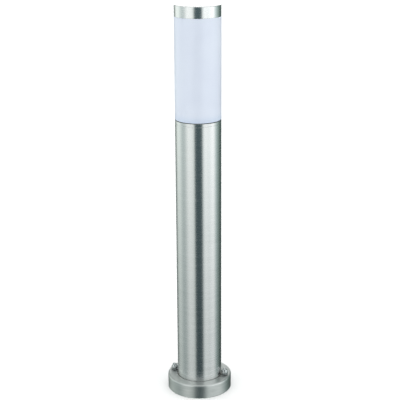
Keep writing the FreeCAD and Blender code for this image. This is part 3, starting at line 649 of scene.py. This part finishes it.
def soften(body, node, name, surface, slot, edge):
    """Makes a piece of a CAD node's own shape with its edges taken to a small radius, in mm."""
    shape = bmesh.new()
    shape.from_mesh(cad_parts[node].data)
    bmesh.ops.remove_doubles(shape, verts=shape.verts, dist=0.001 * MM)
    bmesh.ops.dissolve_limit(shape, angle_limit=math.radians(1), verts=shape.verts, edges=shape.edges)
    mesh = bpy.data.meshes.new(name)
    shape.to_mesh(mesh)
    shape.free()
    mesh.materials.append(surface)
    finish_piece(rounded_edges(set_out(name, mesh), edge), body, slot, node)


# Nylon 66: off-white and waxy, a little uneven from its mould.
white_nylon = finish_of(
    "white_nylon", ("dedbd0", "e6e4db", "eceae3"), (0.42, 0.6), grain=0.6, depth=0.02, clouds=9.0,
    Subsurface_Weight=0.08, Subsurface_Scale=0.002,
)
# Turned brass: warm yellow, with fine tool marks.
brass = finish_of(
    "turned_brass", ("a5854a", "bd9d5b", "ccb075"), (0.2, 0.36), grain=0.25, depth=0.005, clouds=5.0,
    Metallic=1.0,
)
# Tin over copper: soft dull silver.
tinned = finish_of(
    "tinned_copper", ("a19e97", "b5b3ac", "c4c2bc"), (0.3, 0.46), grain=0.4, depth=0.01, clouds=3.0,
    Metallic=1.0,
)
for node, name, surface, slot, edge in (
    ("terminal_bracket", "terminal_angle", galvanised, "galvanised_steel", 0.25),
    ("bracket_rivets", "angle_rivets", zinc_plated, "zinc_plated_steel", 0.15),
    ("terminal_block", "terminal_strip", white_nylon, "white_nylon", 0.3),
    ("block_screws", "strip_screws", zinc_plated, "zinc_plated_steel", 0.15),
    ("terminal_inserts", "terminal_tubes", brass, "brass", 0.15),
    ("clamp_screws", "clamping_screws", zinc_plated, "zinc_plated_steel", 0.15),
    ("earth_tag", "earth_ring_tag", tinned, "tinned_copper", 0.12),
    ("earth_screw", "earth_pan_screw", zinc_plated, "zinc_plated_steel", 0.3),
    ("earth_nut", "earth_hexagon_nut", zinc_plated, "zinc_plated_steel", 0.2),
):
    soften("post", node, name, surface, slot, edge)


# ---- Post ----
# Standard 76.1 mm stainless tube with a 1.2 mm wall, cut square, its rims just broken with a
# file. The roll that sized its mouth left a fine line below the rim, and two small holes
# behind let a key in to the grub screws.

post_steel = brushed_stainless(
    "belt_ground_stainless_tube", 2.0, 90.0, ("dedfdf", "e1e2e2", "e4e5e5"), 0.0006, (0.25, 0.29), 0.72,
)
WALL = 1.2
LINE_BELOW = 5.2
LINE_HALF = 0.4
LINE_DEEP = 0.25
GRUB_AZIMUTHS = (30, 150)
GRUB_Z = 470.0
KEY_HOLE_R = 2.15
post_top = post_high[2]
line_z = post_top - LINE_BELOW
post = turned("post", [
    (post_r - WALL, post_low[2], 0.2),
    (post_r, post_low[2], 0.3),
    (post_r, line_z - LINE_HALF, 0.1),
    (post_r - LINE_DEEP, line_z - 0.5 * LINE_HALF, 0.1),
    (post_r - LINE_DEEP, line_z + 0.5 * LINE_HALF, 0.1),
    (post_r, line_z + LINE_HALF, 0.1),
    (post_r, post_top, 0.35),
    (post_r - WALL, post_top, 0.2),
], post_steel, segments=192)
drill(post, [
    (KEY_HOLE_R, polar(post_r - 3, a, GRUB_Z), polar(post_r + 1, a, GRUB_Z)) for a in GRUB_AZIMUTHS
])
finish_piece(post, "post", "brushed_stainless", "post_tube")


# ---- Collar, seat and grub screws in the post's mouth ----
# A black nylon ring glued into the tube. The head's neck drops into it, two grub screws in
# brass inserts hold it there, and a flat rubber ring seals under the head.

# Glass-filled nylon: black, satin, with a faint flow pattern.
black_nylon = finish_of(
    "black_glass_filled_nylon", ("161718", "1d1e1f", "272829"), (0.38, 0.58), grain=0.7, depth=0.03,
    clouds=12.0,
)
collar_low, collar_high = extent("holder_collar")
LEDGE_TOP = 455.0
LEDGE_BORE_R = 24.0
COLLAR_BORE_R = 34.1
INSERT_R = 3.0
BAR_SCREW_X = 27.5
SCREW_HOLE_R = 1.5
collar = turned("mouth_collar", [
    (LEDGE_BORE_R, collar_low[2], 0.4),
    (collar_high[0], collar_low[2], 0.3),
    (collar_high[0], collar_high[2]),
    (COLLAR_BORE_R + 0.5, collar_high[2], 0.1),
    (COLLAR_BORE_R, collar_high[2] - 0.5, 0.2),
    (COLLAR_BORE_R, LEDGE_TOP, 0.3),
    (LEDGE_BORE_R, LEDGE_TOP, 0.4),
], black_nylon, segments=128)
drill(collar, [
    (INSERT_R, polar(COLLAR_BORE_R - 1, a, GRUB_Z), polar(post_r, a, GRUB_Z)) for a in GRUB_AZIMUTHS
] + [
    (SCREW_HOLE_R, (x, 0, collar_low[2] + 2), (x, 0, LEDGE_TOP + 1)) for x in (-BAR_SCREW_X, BAR_SCREW_X)
])
finish_piece(collar, "post", "black_nylon", "holder_collar")

gasket_low, gasket_high = extent("seat_gasket")
outline = flat_ring(COLLAR_BORE_R + 0.5, gasket_high[0], gasket_low[2], gasket_high[2], 0.1, 0.2)
gasket = turned("seat_ring", outline, rubber)
finish_piece(gasket, "post", "black_rubber", "seat_gasket")
soften("post", "thread_inserts", "grub_inserts", brass, "brass", 0.15)
soften("post", "grub_screws", "socket_grub_screws", polished, "polished_stainless", 0.12)


# ---- Lampholder ----
# A steel bar across the collar's ledge carries it on a hollow threaded nipple. Its body is
# glazed porcelain, its screw shell rolled from thin plated brass.

for node, name, surface, slot, edge in (
    ("holder_bracket", "holder_bar", galvanised, "galvanised_steel", 0.3),
    ("bracket_screws", "bar_screws", zinc_plated, "zinc_plated_steel", 0.2),
    ("nipple_locknut", "locknut", zinc_plated, "zinc_plated_steel", 0.25),
):
    soften("post", node, name, surface, slot, edge)

nipple_low, nipple_high = extent("holder_nipple")
NIPPLE_R = 5.0
NIPPLE_BORE_R = 3.8
nipple_root_r = NIPPLE_R - METRIC_THREAD["depth"]
nipple = turned("hollow_nipple", [
    (NIPPLE_BORE_R, nipple_low[2], 0.1),
    *upright(nipple_root_r, nipple_low[2], nipple_high[2], 0.16),
    (NIPPLE_BORE_R, nipple_high[2], 0.1),
], zinc_plated, segments=48, radius=nipple_root_r, low=nipple_low[2], high=nipple_high[2], **METRIC_THREAD)
finish_piece(nipple, "post", "zinc_plated_steel", "holder_nipple")

# Glazed porcelain: warm white under clear glass that pools unevenly.
porcelain = finish_of(
    "glazed_porcelain", ("e6e2d8", "eeebe3", "f4f2ec"), (0.08, 0.2), grain=3.0, depth=0.05, clouds=12.0,
    Coat_Weight=0.5, Coat_Roughness=0.05,
)
holder_low, holder_high = extent("lampholder_body")
holder_r = holder_high[0]
HOLDER_FOOT_R = 14.0
SOCKET_FLOOR = 472.0
SHELL_R = 13.93
CHAMBER_R = 10.5
CHAMBER_FLOOR = 460.0
CHAMBER_ROOF = 467.0
RIVET_X = 4.8
holder = turned("porcelain_holder", [
    (5.0, holder_low[2], 0.3),
    (HOLDER_FOOT_R, holder_low[2], 0.8),
    (HOLDER_FOOT_R, SOCKET_FLOOR - 3, 2.0),
    (holder_r, SOCKET_FLOOR + 2, 2.0),
    (holder_r, holder_high[2] - 1.5, 0.8),
    (holder_r - 1.5, holder_high[2], 0.8),
    (SHELL_R + 1.5, holder_high[2], 0.6),
    (SHELL_R, holder_high[2] - 1.5, 0.6),
    (SHELL_R, SOCKET_FLOOR, 0.6),
    (0.0, SOCKET_FLOOR),
    (0.0, CHAMBER_ROOF),
    (CHAMBER_R, CHAMBER_ROOF, 0.6),
    (CHAMBER_R, CHAMBER_FLOOR, 0.6),
    (5.0, CHAMBER_FLOOR, 0.4),
], porcelain, segments=96)
drill(holder, [
    (SCREW_HOLE_R, (x, 0, CHAMBER_ROOF - 1), (x, 0, SOCKET_FLOOR + 1)) for x in (-RIVET_X, RIVET_X)
])
finish_piece(holder, "post", "glazed_porcelain", "lampholder_body")

# Nickel over brass: pale and faintly yellow, bright where the rolls pressed it.
nickel = finish_of(
    "nickel_plated_brass", ("b3af9f", "c6c2b4", "d3d0c5"), (0.16, 0.3), grain=0.35, depth=0.004,
    clouds=5.0, Metallic=1.0,
)
shell_low, shell_high = extent("lampholder_shell")
SHELL_BORE_R = 13.33
SHELL_THREAD_DEPTH = 0.3
THREAD_PITCH = 3.629  # of every E27 thread
THREAD_STEP = 0.36
shell = turned("screw_shell", [
    *upright(SHELL_BORE_R, shell_low[2], shell_high[2], THREAD_STEP),
    (shell_high[0], shell_high[2], 0.1),
    (shell_high[0], shell_low[2], 0.1),
], nickel, segments=96, radius=SHELL_BORE_R, depth=SHELL_THREAD_DEPTH, pitch=THREAD_PITCH,
    low=shell_low[2], high=shell_high[2])
finish_piece(shell, "post", "nickel_plate", "lampholder_shell")
for node, name, edge in (
    ("shell_strap", "shell_side_strap", 0.12),
    ("centre_contact", "sprung_centre_contact", 0.12),
    ("contact_rivets", "contact_rivet_pair", 0.2),
):
    soften("post", node, name, brass, "brass", edge)


# ---- Inner wires ----
# Single cores in PVC: brown and blue up the post to the lampholder, green and yellow from the
# middle terminal down to the earth tag.

# The tree behind the wires: a route's corners are rounded and a round section swept along it.
wiring, given = geometry_tree("wire", Route="Object", Radius="Float", Bend="Float", Surface="Material")
route = add(wiring, "GeometryNodeObjectInfo", {"Object": given["Route"]})
line = add(wiring, "GeometryNodeMeshToCurve", {0: route.outputs["Geometry"]})
bent = add(wiring, "GeometryNodeFilletCurve", {"Curve": line.outputs[0], "Radius": given["Bend"]})
section = add(wiring, "GeometryNodeCurvePrimitiveCircle", {"Resolution": 24, "Radius": given["Radius"]})
swept = add(
    wiring, "GeometryNodeCurveToMesh",
    {"Curve": bent.outputs[0], "Profile Curve": section.outputs[0], "Fill Caps": True},
)
end_tree(wiring, swept.outputs[0], given["Surface"])

# PVC insulation: even, slightly soft sheen.
brown_pvc = finish_of(
    "brown_pvc", ("4a2b1e", "553324", "603c2c"), (0.4, 0.56), grain=0.8, depth=0.01, clouds=12.0,
)
blue_pvc = finish_of(
    "blue_pvc", ("1f4c8a", "27589b", "3064a8"), (0.4, 0.56), grain=0.8, depth=0.01, clouds=12.0,
)
earth_pvc = finish_of(
    "green_and_yellow_pvc", ("c9b51c", "d4c024", "dccb38"), (0.4, 0.56), grain=0.8, depth=0.01, clouds=12.0,
)


def lay_over(material, share, code):
    """Lays a second colour over a material's own, as far as share goes from 0 to 1."""
    tree = material.node_tree
    colour = tree.nodes["Principled BSDF"].inputs["Base Color"]
    own = colour.links[0].from_socket
    both = add(tree, "ShaderNodeMix", {0: share, 6: own, 7: srgb(code)}, data_type="RGBA")
    tree.links.new(both.outputs[2], colour)


# a green stripe runs down the middle of the yellow
STRIPE_HALF = 0.45
tree = earth_pvc.node_tree
place = add(tree, "ShaderNodeTexCoord").outputs["Object"]
parts = add(tree, "ShaderNodeSeparateXYZ", {0: place})
stripe = add(
    tree, "ShaderNodeMath", {0: parts.outputs["X"], 1: 0.0, 2: STRIPE_HALF * MM}, operation="COMPARE",
)
lay_over(earth_pvc, stripe.outputs[0], "1f7a3c")

WIRE_R = 1.1
TERMINAL_Y = 15.0
TERMINAL_Z = 39.5
LIVE_X = 8.0  # of its terminal; the neutral's mirrors it
HOLDER_X = 2.5  # where the two go up into the lampholder
HOLDER_Z = 465.4
TAG_Y = 18.3
routes = [
    ((x * LIVE_X, TERMINAL_Y, TERMINAL_Z), (x * LIVE_X, TERMINAL_Y, 370), (x * HOLDER_X, 0, 430),
     (x * HOLDER_X, 0, HOLDER_Z))
    for x in (1, -1)
]
earth_route = ((0, TERMINAL_Y, 45.5), (0, TERMINAL_Y, 31.5), (0, TAG_Y, 26.3), (0, TAG_Y, 21.5))
for node, name, surface, slot, bend, corners in (
    ("live_wire", "live_core", brown_pvc, "brown_insulation", 20.0, routes[0]),
    ("neutral_wire", "neutral_core", blue_pvc, "blue_insulation", 20.0, routes[1]),
    ("earth_wire", "earth_core", earth_pvc, "green_yellow_insulation", 1.5, earth_route),
):
    line = drawn_line(corners)
    core = grow(name, wiring, {"Route": line, "Radius": WIRE_R * MM, "Bend": bend * MM, "Surface": surface})
    bpy.data.objects.remove(line)
    finish_piece(core, "post", slot, node)


# ---- Lamp ----
# An E27 lamp of the round-ended tube shape: soldered tip, black glass, rolled screw cap,
# white housing with its driver, a board of six light sources and an opal envelope.

# Solder: dull silver, its skin crinkled as it froze.
solder = finish_of(
    "solder", ("8b8e92", "a0a3a6", "b3b5b7"), (0.26, 0.46), grain=0.8, depth=0.03, clouds=3.0, Metallic=1.0,
)
# Vitrite: nearly black glass, fused and glossy.
black_glass = finish_of(
    "black_cap_glass", ("08090a", "0d0e10", "15171a"), (0.05, 0.16), grain=2.0, depth=0.03, clouds=6.0,
)
# White PBT: the lamp's heat-resisting plastic, satin.
lamp_white = finish_of(
    "white_lamp_housing_plastic", ("e2e2de", "eae9e5", "f0f0ed"), (0.34, 0.5), grain=0.7, depth=0.015,
    clouds=14.0,
)
tip_low, tip_high = extent("lamp_contact")
tip_r = tip_high[0]
tip = turned("soldered_tip", [
    (0.0, tip_low[2]),
    (0.65 * tip_r, tip_low[2] + 0.2, 0.4),
    (tip_r, tip_low[2] + 1.2, 0.3),
    (tip_r, tip_high[2]),
    (0.0, tip_high[2]),
], solder, segments=48)
finish_piece(tip, "lamp_base", "solder", "lamp_contact")
glass_low, glass_high = extent("lamp_insulator")
glass = turned("glass_cone", [
    (0.0, glass_low[2]),
    (tip_r, glass_low[2]),
    (glass_high[0], glass_high[2], 0.3),
    (0.0, glass_high[2]),
], black_glass, segments=64)
finish_piece(glass, "lamp_base", "black_glass", "lamp_insulator")
screw_low, screw_high = extent("lamp_screw_cap")
THREAD_ROOT_R = 12.3
CAP_THREAD_DEPTH = 0.73
PLAIN_RIM = 3.5  # above the cap's thread
screw_cap = turned("lamp_screw_shell", [
    (glass_high[0], screw_low[2], 0.1),
    *upright(THREAD_ROOT_R, screw_low[2], screw_high[2], THREAD_STEP),
    (glass_high[0], screw_high[2], 0.1),
], nickel, segments=96, radius=THREAD_ROOT_R, depth=CAP_THREAD_DEPTH, pitch=THREAD_PITCH,
    low=screw_low[2] + 0.5, high=screw_high[2] - PLAIN_RIM)
finish_piece(screw_cap, "lamp_base", "nickel_plate", "lamp_screw_cap")

housing_low, housing_high = extent("lamp_housing")
LAMP_R = 18.75
PLUG_R = 11.65
HOUSING_WALL = 1.5
FLARE = 521.0
shoulder = screw_high[2] + 0.05
housing = turned("lamp_funnel", [
    (PLUG_R, housing_low[2], 0.2),
    (PLUG_R, shoulder),
    (THREAD_ROOT_R + 0.8, shoulder, 0.3),
    (LAMP_R, FLARE, 4.0),
    (LAMP_R, housing_high[2], 0.2),
    (LAMP_R - HOUSING_WALL, housing_high[2], 0.2),
    (LAMP_R - HOUSING_WALL, FLARE + 0.5, 2.0),
    (PLUG_R - HOUSING_WALL, shoulder + 0.5, 0.5),
    (PLUG_R - HOUSING_WALL, housing_low[2], 0.2),
], lamp_white, segments=96)
finish_piece(housing, "lamp_top", "white_lamp_plastic", "lamp_housing")

# Printed board: green solder mask, with the copper tracks showing paler through it.
driver_board = finish_of(
    "green_circuit_board", ("1d5834", "24663d", "2c7246"), (0.24, 0.4), grain=0.4, depth=0.01, clouds=6.0,
)
TRACK_STEP = 2.6
TRACK_SHARE = 0.08
tree = driver_board.node_tree
place = add(tree, "ShaderNodeTexCoord").outputs["Object"]
cells = add(
    tree, "ShaderNodeTexVoronoi", {"Vector": place, "Scale": 1 / (TRACK_STEP * MM), "Randomness": 0.4},
    feature="DISTANCE_TO_EDGE", distance="EUCLIDEAN",
)
track = add(
    tree, "ShaderNodeMath", {0: cells.outputs["Distance"], 1: TRACK_SHARE}, operation="LESS_THAN",
)
lay_over(driver_board, track.outputs[0], "5d9a5a")
# White solder mask on aluminium, to throw the light out.
mask_white = finish_of(
    "white_solder_mask", ("dcdfdc", "e4e7e4", "ebeeeb"), (0.28, 0.42), grain=0.4, depth=0.01, clouds=8.0,
)
# Phosphor in clear silicone: yellow while the lamp is off.
phosphor = finish_of(
    "yellow_phosphor", ("d2ae3c", "dfbe4c", "e9cc62"), (0.22, 0.38), grain=0.3, depth=0.02, clouds=2.0,
)
# Opal polycarbonate of the lamp's own envelope: white, slightly translucent, satin.
lamp_opal = finish_of(
    "opal_lamp_envelope", ("ebeceb", "f1f2f1", "f6f6f6"), (0.3, 0.42), grain=1.0, depth=0.01, clouds=20.0,
    Subsurface_Weight=0.2, Subsurface_Scale=0.004,
)
soften("lamp_top", "lamp_driver_board", "driver_board", driver_board, "circuit_board", 0.1)
board_low, board_high = extent("led_board")
outline = flat_ring(0.0, board_high[0], board_low[2], board_high[2], 0.0, 0.15)
light_board = turned("light_source_board", outline, mask_white, segments=96)
finish_piece(light_board, "lamp_top", "led_board", "led_board")

LED_COUNT = 6
LED_CIRCLE_R = 10.0
LED_WIDE = 2.8
chip_low, chip_high = extent("led_chips")
chip_shape = bmesh.new()
chip_size = Matrix.Diagonal((LED_WIDE * MM, LED_WIDE * MM, (chip_high[2] - chip_low[2]) * MM, 1.0))
chip_middle = Matrix.Translation((0.0, 0.0, (chip_low[2] + chip_high[2]) / 2 * MM))
bmesh.ops.create_cube(chip_shape, size=1.0, matrix=chip_middle @ chip_size)
chip_mesh = bpy.data.meshes.new("light_source")
chip_shape.to_mesh(chip_mesh)
chip_shape.free()
chip = rounded_edges(set_out("light_source", chip_mesh), 0.2)
chip_azimuths = [360 / LED_COUNT * i for i in range(LED_COUNT)]
chips = ring_of("light_sources", chip, phosphor, LED_CIRCLE_R, chip_azimuths)
finish_piece(chips, "lamp_top", "led_phosphor", "led_chips")

bulb_low, bulb_high = extent("lamp_bulb")
BULB_WALL = 1.2
inner_r = LAMP_R - BULB_WALL
dome_centre = bulb_high[2] - LAMP_R
bulb = turned("lamp_envelope", [
    (inner_r, bulb_low[2], 0.3),
    (LAMP_R, bulb_low[2], 0.3),
    *dome_outline(LAMP_R, dome_centre, 18),
    *dome_outline(inner_r, dome_centre, 18)[::-1],
], lamp_opal, segments=96)
finish_piece(bulb, "lamp_top", "opal_lamp_plastic", "lamp_bulb")


# ---- Diffuser ----
# One moulding of opal polycarbonate: a neck that drops into the post, a body flush with it
# and a closed top under the cap. An O-ring on the neck keeps it central.

# Opal polycarbonate: milky, faintly blue, with a satin skin. Near the foot its colour is mixed
# toward a darker blue: painted shade, for the light that the dark collar behind it keeps back.
opal = finish_of(
    "opal_polycarbonate", ("d5dceb", "d9e0ee", "dce3f0"), (0.3, 0.38), grain=0.9, depth=0.0015, clouds=70.0,
    IOR=1.58,
)
# how far up from the seat the painted shade at the foot reaches, in mm
PAINTED_SHADE_HEIGHT = 14.0
seat_height = gasket_high[2] + 0.3
tree = opal.node_tree
place = add(tree, "ShaderNodeTexCoord").outputs["Object"]
parts = add(tree, "ShaderNodeSeparateXYZ", {0: place})
painted_shade_at_foot = add(
    tree, "ShaderNodeMapRange",
    {"Value": parts.outputs["Z"], "From Min": seat_height * MM,
     "From Max": (seat_height + PAINTED_SHADE_HEIGHT) * MM, "To Min": 0.7, "To Max": 0.0},
    interpolation_type="SMOOTHSTEP",
)
# the darker blue laid over the foot is painted shade
lay_over(opal, painted_shade_at_foot.outputs[0], "c3d1e6")
NECK_R = 33.5
HEAD_WALL = 2.5
GROOVE_R = 32.2
RING_Z = 476.5
GROOVE_HALF = 0.9
body_low, body_high = extent("diffuser")
cap_low, cap_high = extent("top_cap")
head_r = body_high[0]
spigot_r = cap_high[0] - 0.95
diffuser = turned("diffuser_moulding", [
    (NECK_R - HEAD_WALL, body_low[2], 0.3),
    (NECK_R, body_low[2], 0.5),
    (NECK_R, RING_Z - GROOVE_HALF, 0.15),
    (GROOVE_R, RING_Z - GROOVE_HALF, 0.2),
    (GROOVE_R, RING_Z + GROOVE_HALF, 0.2),
    (NECK_R, RING_Z + GROOVE_HALF, 0.15),
    (NECK_R, seat_height, 0.2),
    (head_r, seat_height, 0.35),
    (head_r, cap_low[2], 0.3),
    (spigot_r, cap_low[2]),
    (spigot_r, body_high[2], 1.0),
    (0.0, body_high[2]),
    (0.0, body_high[2] - HEAD_WALL),
    (spigot_r - HEAD_WALL, body_high[2] - HEAD_WALL, 1.0),
    (spigot_r - HEAD_WALL, cap_low[2] - 1.5, 0.6),
    (head_r - HEAD_WALL, cap_low[2] - 3.0, 0.6),
    (head_r - HEAD_WALL, seat_height + HEAD_WALL + 2.0, 1.0),
    (NECK_R - HEAD_WALL, seat_height + HEAD_WALL, 1.0),
], opal, segments=192)
finish_piece(diffuser, "head", "opal_polycarbonate", "diffuser")

ring_low, ring_high = extent("neck_o_ring")
ring_section = (ring_high[2] - ring_low[2]) / 2
section_turns = [2 * math.pi * i / 16 for i in range(16)]
o_ring = turned("neck_seal", [
    (ring_high[0] - ring_section + ring_section * math.cos(a), RING_Z + ring_section * math.sin(a))
    for a in section_turns
], rubber, segments=128)
finish_piece(o_ring, "head", "black_rubber", "neck_o_ring")

# Closed-cell foam with glue on both faces: grey, matt and pitted.
foam = finish_of(
    "grey_closed_cell_foam", ("636667", "777a7b", "898c8d"), (0.82, 0.96), grain=0.6, depth=0.15, clouds=1.4,
    crystals=True, Specular_IOR_Level=0.25,
)
pad_low, pad_high = extent("cap_pad")
outline = flat_ring(0.0, pad_high[0], pad_low[2], pad_high[2], 0.0, 0.3)
pad = turned("cap_foam_pad", outline, foam, segments=96)
finish_piece(pad, "head", "grey_foam", "cap_pad")


# ---- Top cap ----
# A lid spun from 0.9 mm stainless and glued over the diffuser's closed top. Its side carries
# on the post's grain, and its top is ground in rings.

cap_steel = brushed_stainless(
    "belt_ground_stainless_cap", 1.3, 45.0, ("dedfdf", "e1e2e2", "e4e5e5"), 0.0006, (0.25, 0.29), 0.72,
)
LID = 0.9
lid_r = cap_high[0]
lid = turned("top_lid", [
    (lid_r - LID, cap_low[2], 0.2),
    (lid_r, cap_low[2], 0.3),
    (lid_r, cap_high[2], 0.8),
    (0.0, cap_high[2]),
    (0.0, cap_high[2] - LID),
    (lid_r - LID, cap_high[2] - LID, 0.3),
], cap_steel, segments=192)
finish_piece(lid, "head", "brushed_stainless", "top_cap")


# ---- Studio ----
# A pale floor under one soft studio surround. What the steel mirrors is a ring of soft boxes
# round the horizon, with a dark gap behind the camera. Matt surfaces take an even light.

floor_paint = finish_of(
    "pale_studio_floor", ("f2f2f2", "f4f4f4", "f6f6f6"), (0.86, 0.94), grain=3.0, depth=0.01, clouds=600.0,
)
FLOOR = 40.0  # half its width, in metres
floor_mesh = bpy.data.meshes.new("floor")
corners = [(-FLOOR, -FLOOR, 0), (FLOOR, -FLOOR, 0), (FLOOR, FLOOR, 0), (-FLOOR, FLOOR, 0)]
floor_mesh.from_pydata(corners, [], [(0, 1, 2, 3)])
floor_mesh.materials.append(floor_paint)
floor = set_out("floor", floor_mesh)
floor.visible_glossy = False

world = bpy.data.worlds.new("studio")
bpy.context.scene.world = world
world.use_nodes = True
tree = world.node_tree
tree.nodes.clear()
way = add(tree, "ShaderNodeTexCoord").outputs["Generated"]
parts = add(tree, "ShaderNodeSeparateXYZ", {0: way})
forward = add(tree, "ShaderNodeMath", {0: parts.outputs["Y"], 1: -1.0}, operation="MULTIPLY")
turn = add(tree, "ShaderNodeMath", {0: parts.outputs["X"], 1: forward.outputs[0]}, operation="ARCTAN2")
turn_share = add(
    tree, "ShaderNodeMapRange", {"Value": turn.outputs[0], "From Min": -math.pi, "From Max": math.pi},
)
# The soft boxes' brightness, by the angle from the object's front in degrees, positive to the
# right.
PANELS = (
    (-180, "ffffff"), (-160, "6a7270"), (-144, "7a817e"), (-128, "d6dcd8"), (-106, "d8dedb"), (-86, "b0b9b8"),
    (-72, "b3bbba"), (-50, "ebedec"), (-30, "e2e4e3"), (-21.5, "d0d6d3"), (-15.5, "3a4b4f"), (17.5, "3a4b4f"),
    (23.5, "ced4d3"), (30, "edf0f0"), (38, "f1f3f3"), (53, "e6eaea"), (66, "f4f6f7"), (80, "fdfefe"),
    (100, "a9b7b6"), (120, "75847f"), (140, "364543"), (158, "4c5653"), (180, "ffffff"),
)
around_stops = [((angle + 180) / 360, code) for angle, code in PANELS]
surround = add(tree, "ShaderNodeValToRGB", {"Fac": turn_share.outputs[0]}, stops=around_stops)
height_share = add(
    tree, "ShaderNodeMapRange", {"Value": parts.outputs["Z"], "From Min": -0.6, "From Max": 0.6},
)
# They fade toward the ground and above.
OVERHEAD = "b4b8b7"
FADE = (
    (0.1, "8e9291"), (0.18, "a9adac"), (0.28, "d2d5d4"), (0.38, "f4f6f5"), (0.45, "ffffff"), (0.68, "ffffff"),
    (0.84, "8c908f"), (1.0, OVERHEAD),
)
fade = add(tree, "ShaderNodeValToRGB", {"Fac": height_share.outputs[0]}, stops=FADE)
boxes = add(
    tree, "ShaderNodeMix", {0: 1.0, 6: surround.outputs[0], 7: fade.outputs[0]},
    data_type="RGBA", blend_type="MULTIPLY",
)
above = add(tree, "ShaderNodeMapRange", {"Value": parts.outputs["Z"], "From Min": 0.62, "From Max": 0.92})
mirrored = add(
    tree, "ShaderNodeMix", {0: above.outputs[0], 6: boxes.outputs[2], 7: srgb(OVERHEAD)}, data_type="RGBA",
)
mirrored_light = add(tree, "ShaderNodeBackground", {"Color": mirrored.outputs[2], "Strength": 1.9})
CEILING = 1.25
overhead = add(tree, "ShaderNodeMapRange", {"Value": parts.outputs["Z"], "From Min": 0.45, "From Max": 0.8})
soft = add(
    tree, "ShaderNodeMix",
    {0: overhead.outputs[0], 6: boxes.outputs[2], 7: (CEILING, CEILING, CEILING, 1.0)}, data_type="RGBA",
)
soft_light = add(tree, "ShaderNodeBackground", {"Color": soft.outputs[2], "Strength": 1.5})
plain = add(tree, "ShaderNodeBackground", {"Color": (1.0, 1.0, 1.0, 1.0), "Strength": 1.0})
ray = add(tree, "ShaderNodeLightPath")
lit = add(
    tree, "ShaderNodeMixShader",
    {0: ray.outputs["Is Glossy Ray"], 1: soft_light.outputs[0], 2: mirrored_light.outputs[0]},
)
seen = add(
    tree, "ShaderNodeMixShader", {0: ray.outputs["Is Camera Ray"], 1: lit.outputs[0], 2: plain.outputs[0]},
)
add(tree, "ShaderNodeOutputWorld", {"Surface": seen.outputs[0]})

CAMERA_PLACE = (4.9, -1704, 870)
LOOKS_DOWN = 17.27  # degrees
ROLL = 0.285
camera_data = bpy.data.cameras.new("camera")
camera_data.lens = 96.0
camera_data.clip_end = 200.0
camera = bpy.data.objects.new("camera", camera_data)
camera.location = [value * MM for value in CAMERA_PLACE]
camera.rotation_euler = (math.radians(90 - LOOKS_DOWN), math.radians(ROLL), 0.0)
bpy.context.scene.collection.objects.link(camera)
bpy.context.scene.camera = camera
bpy.context.scene.view_settings.view_transform = "Standard"
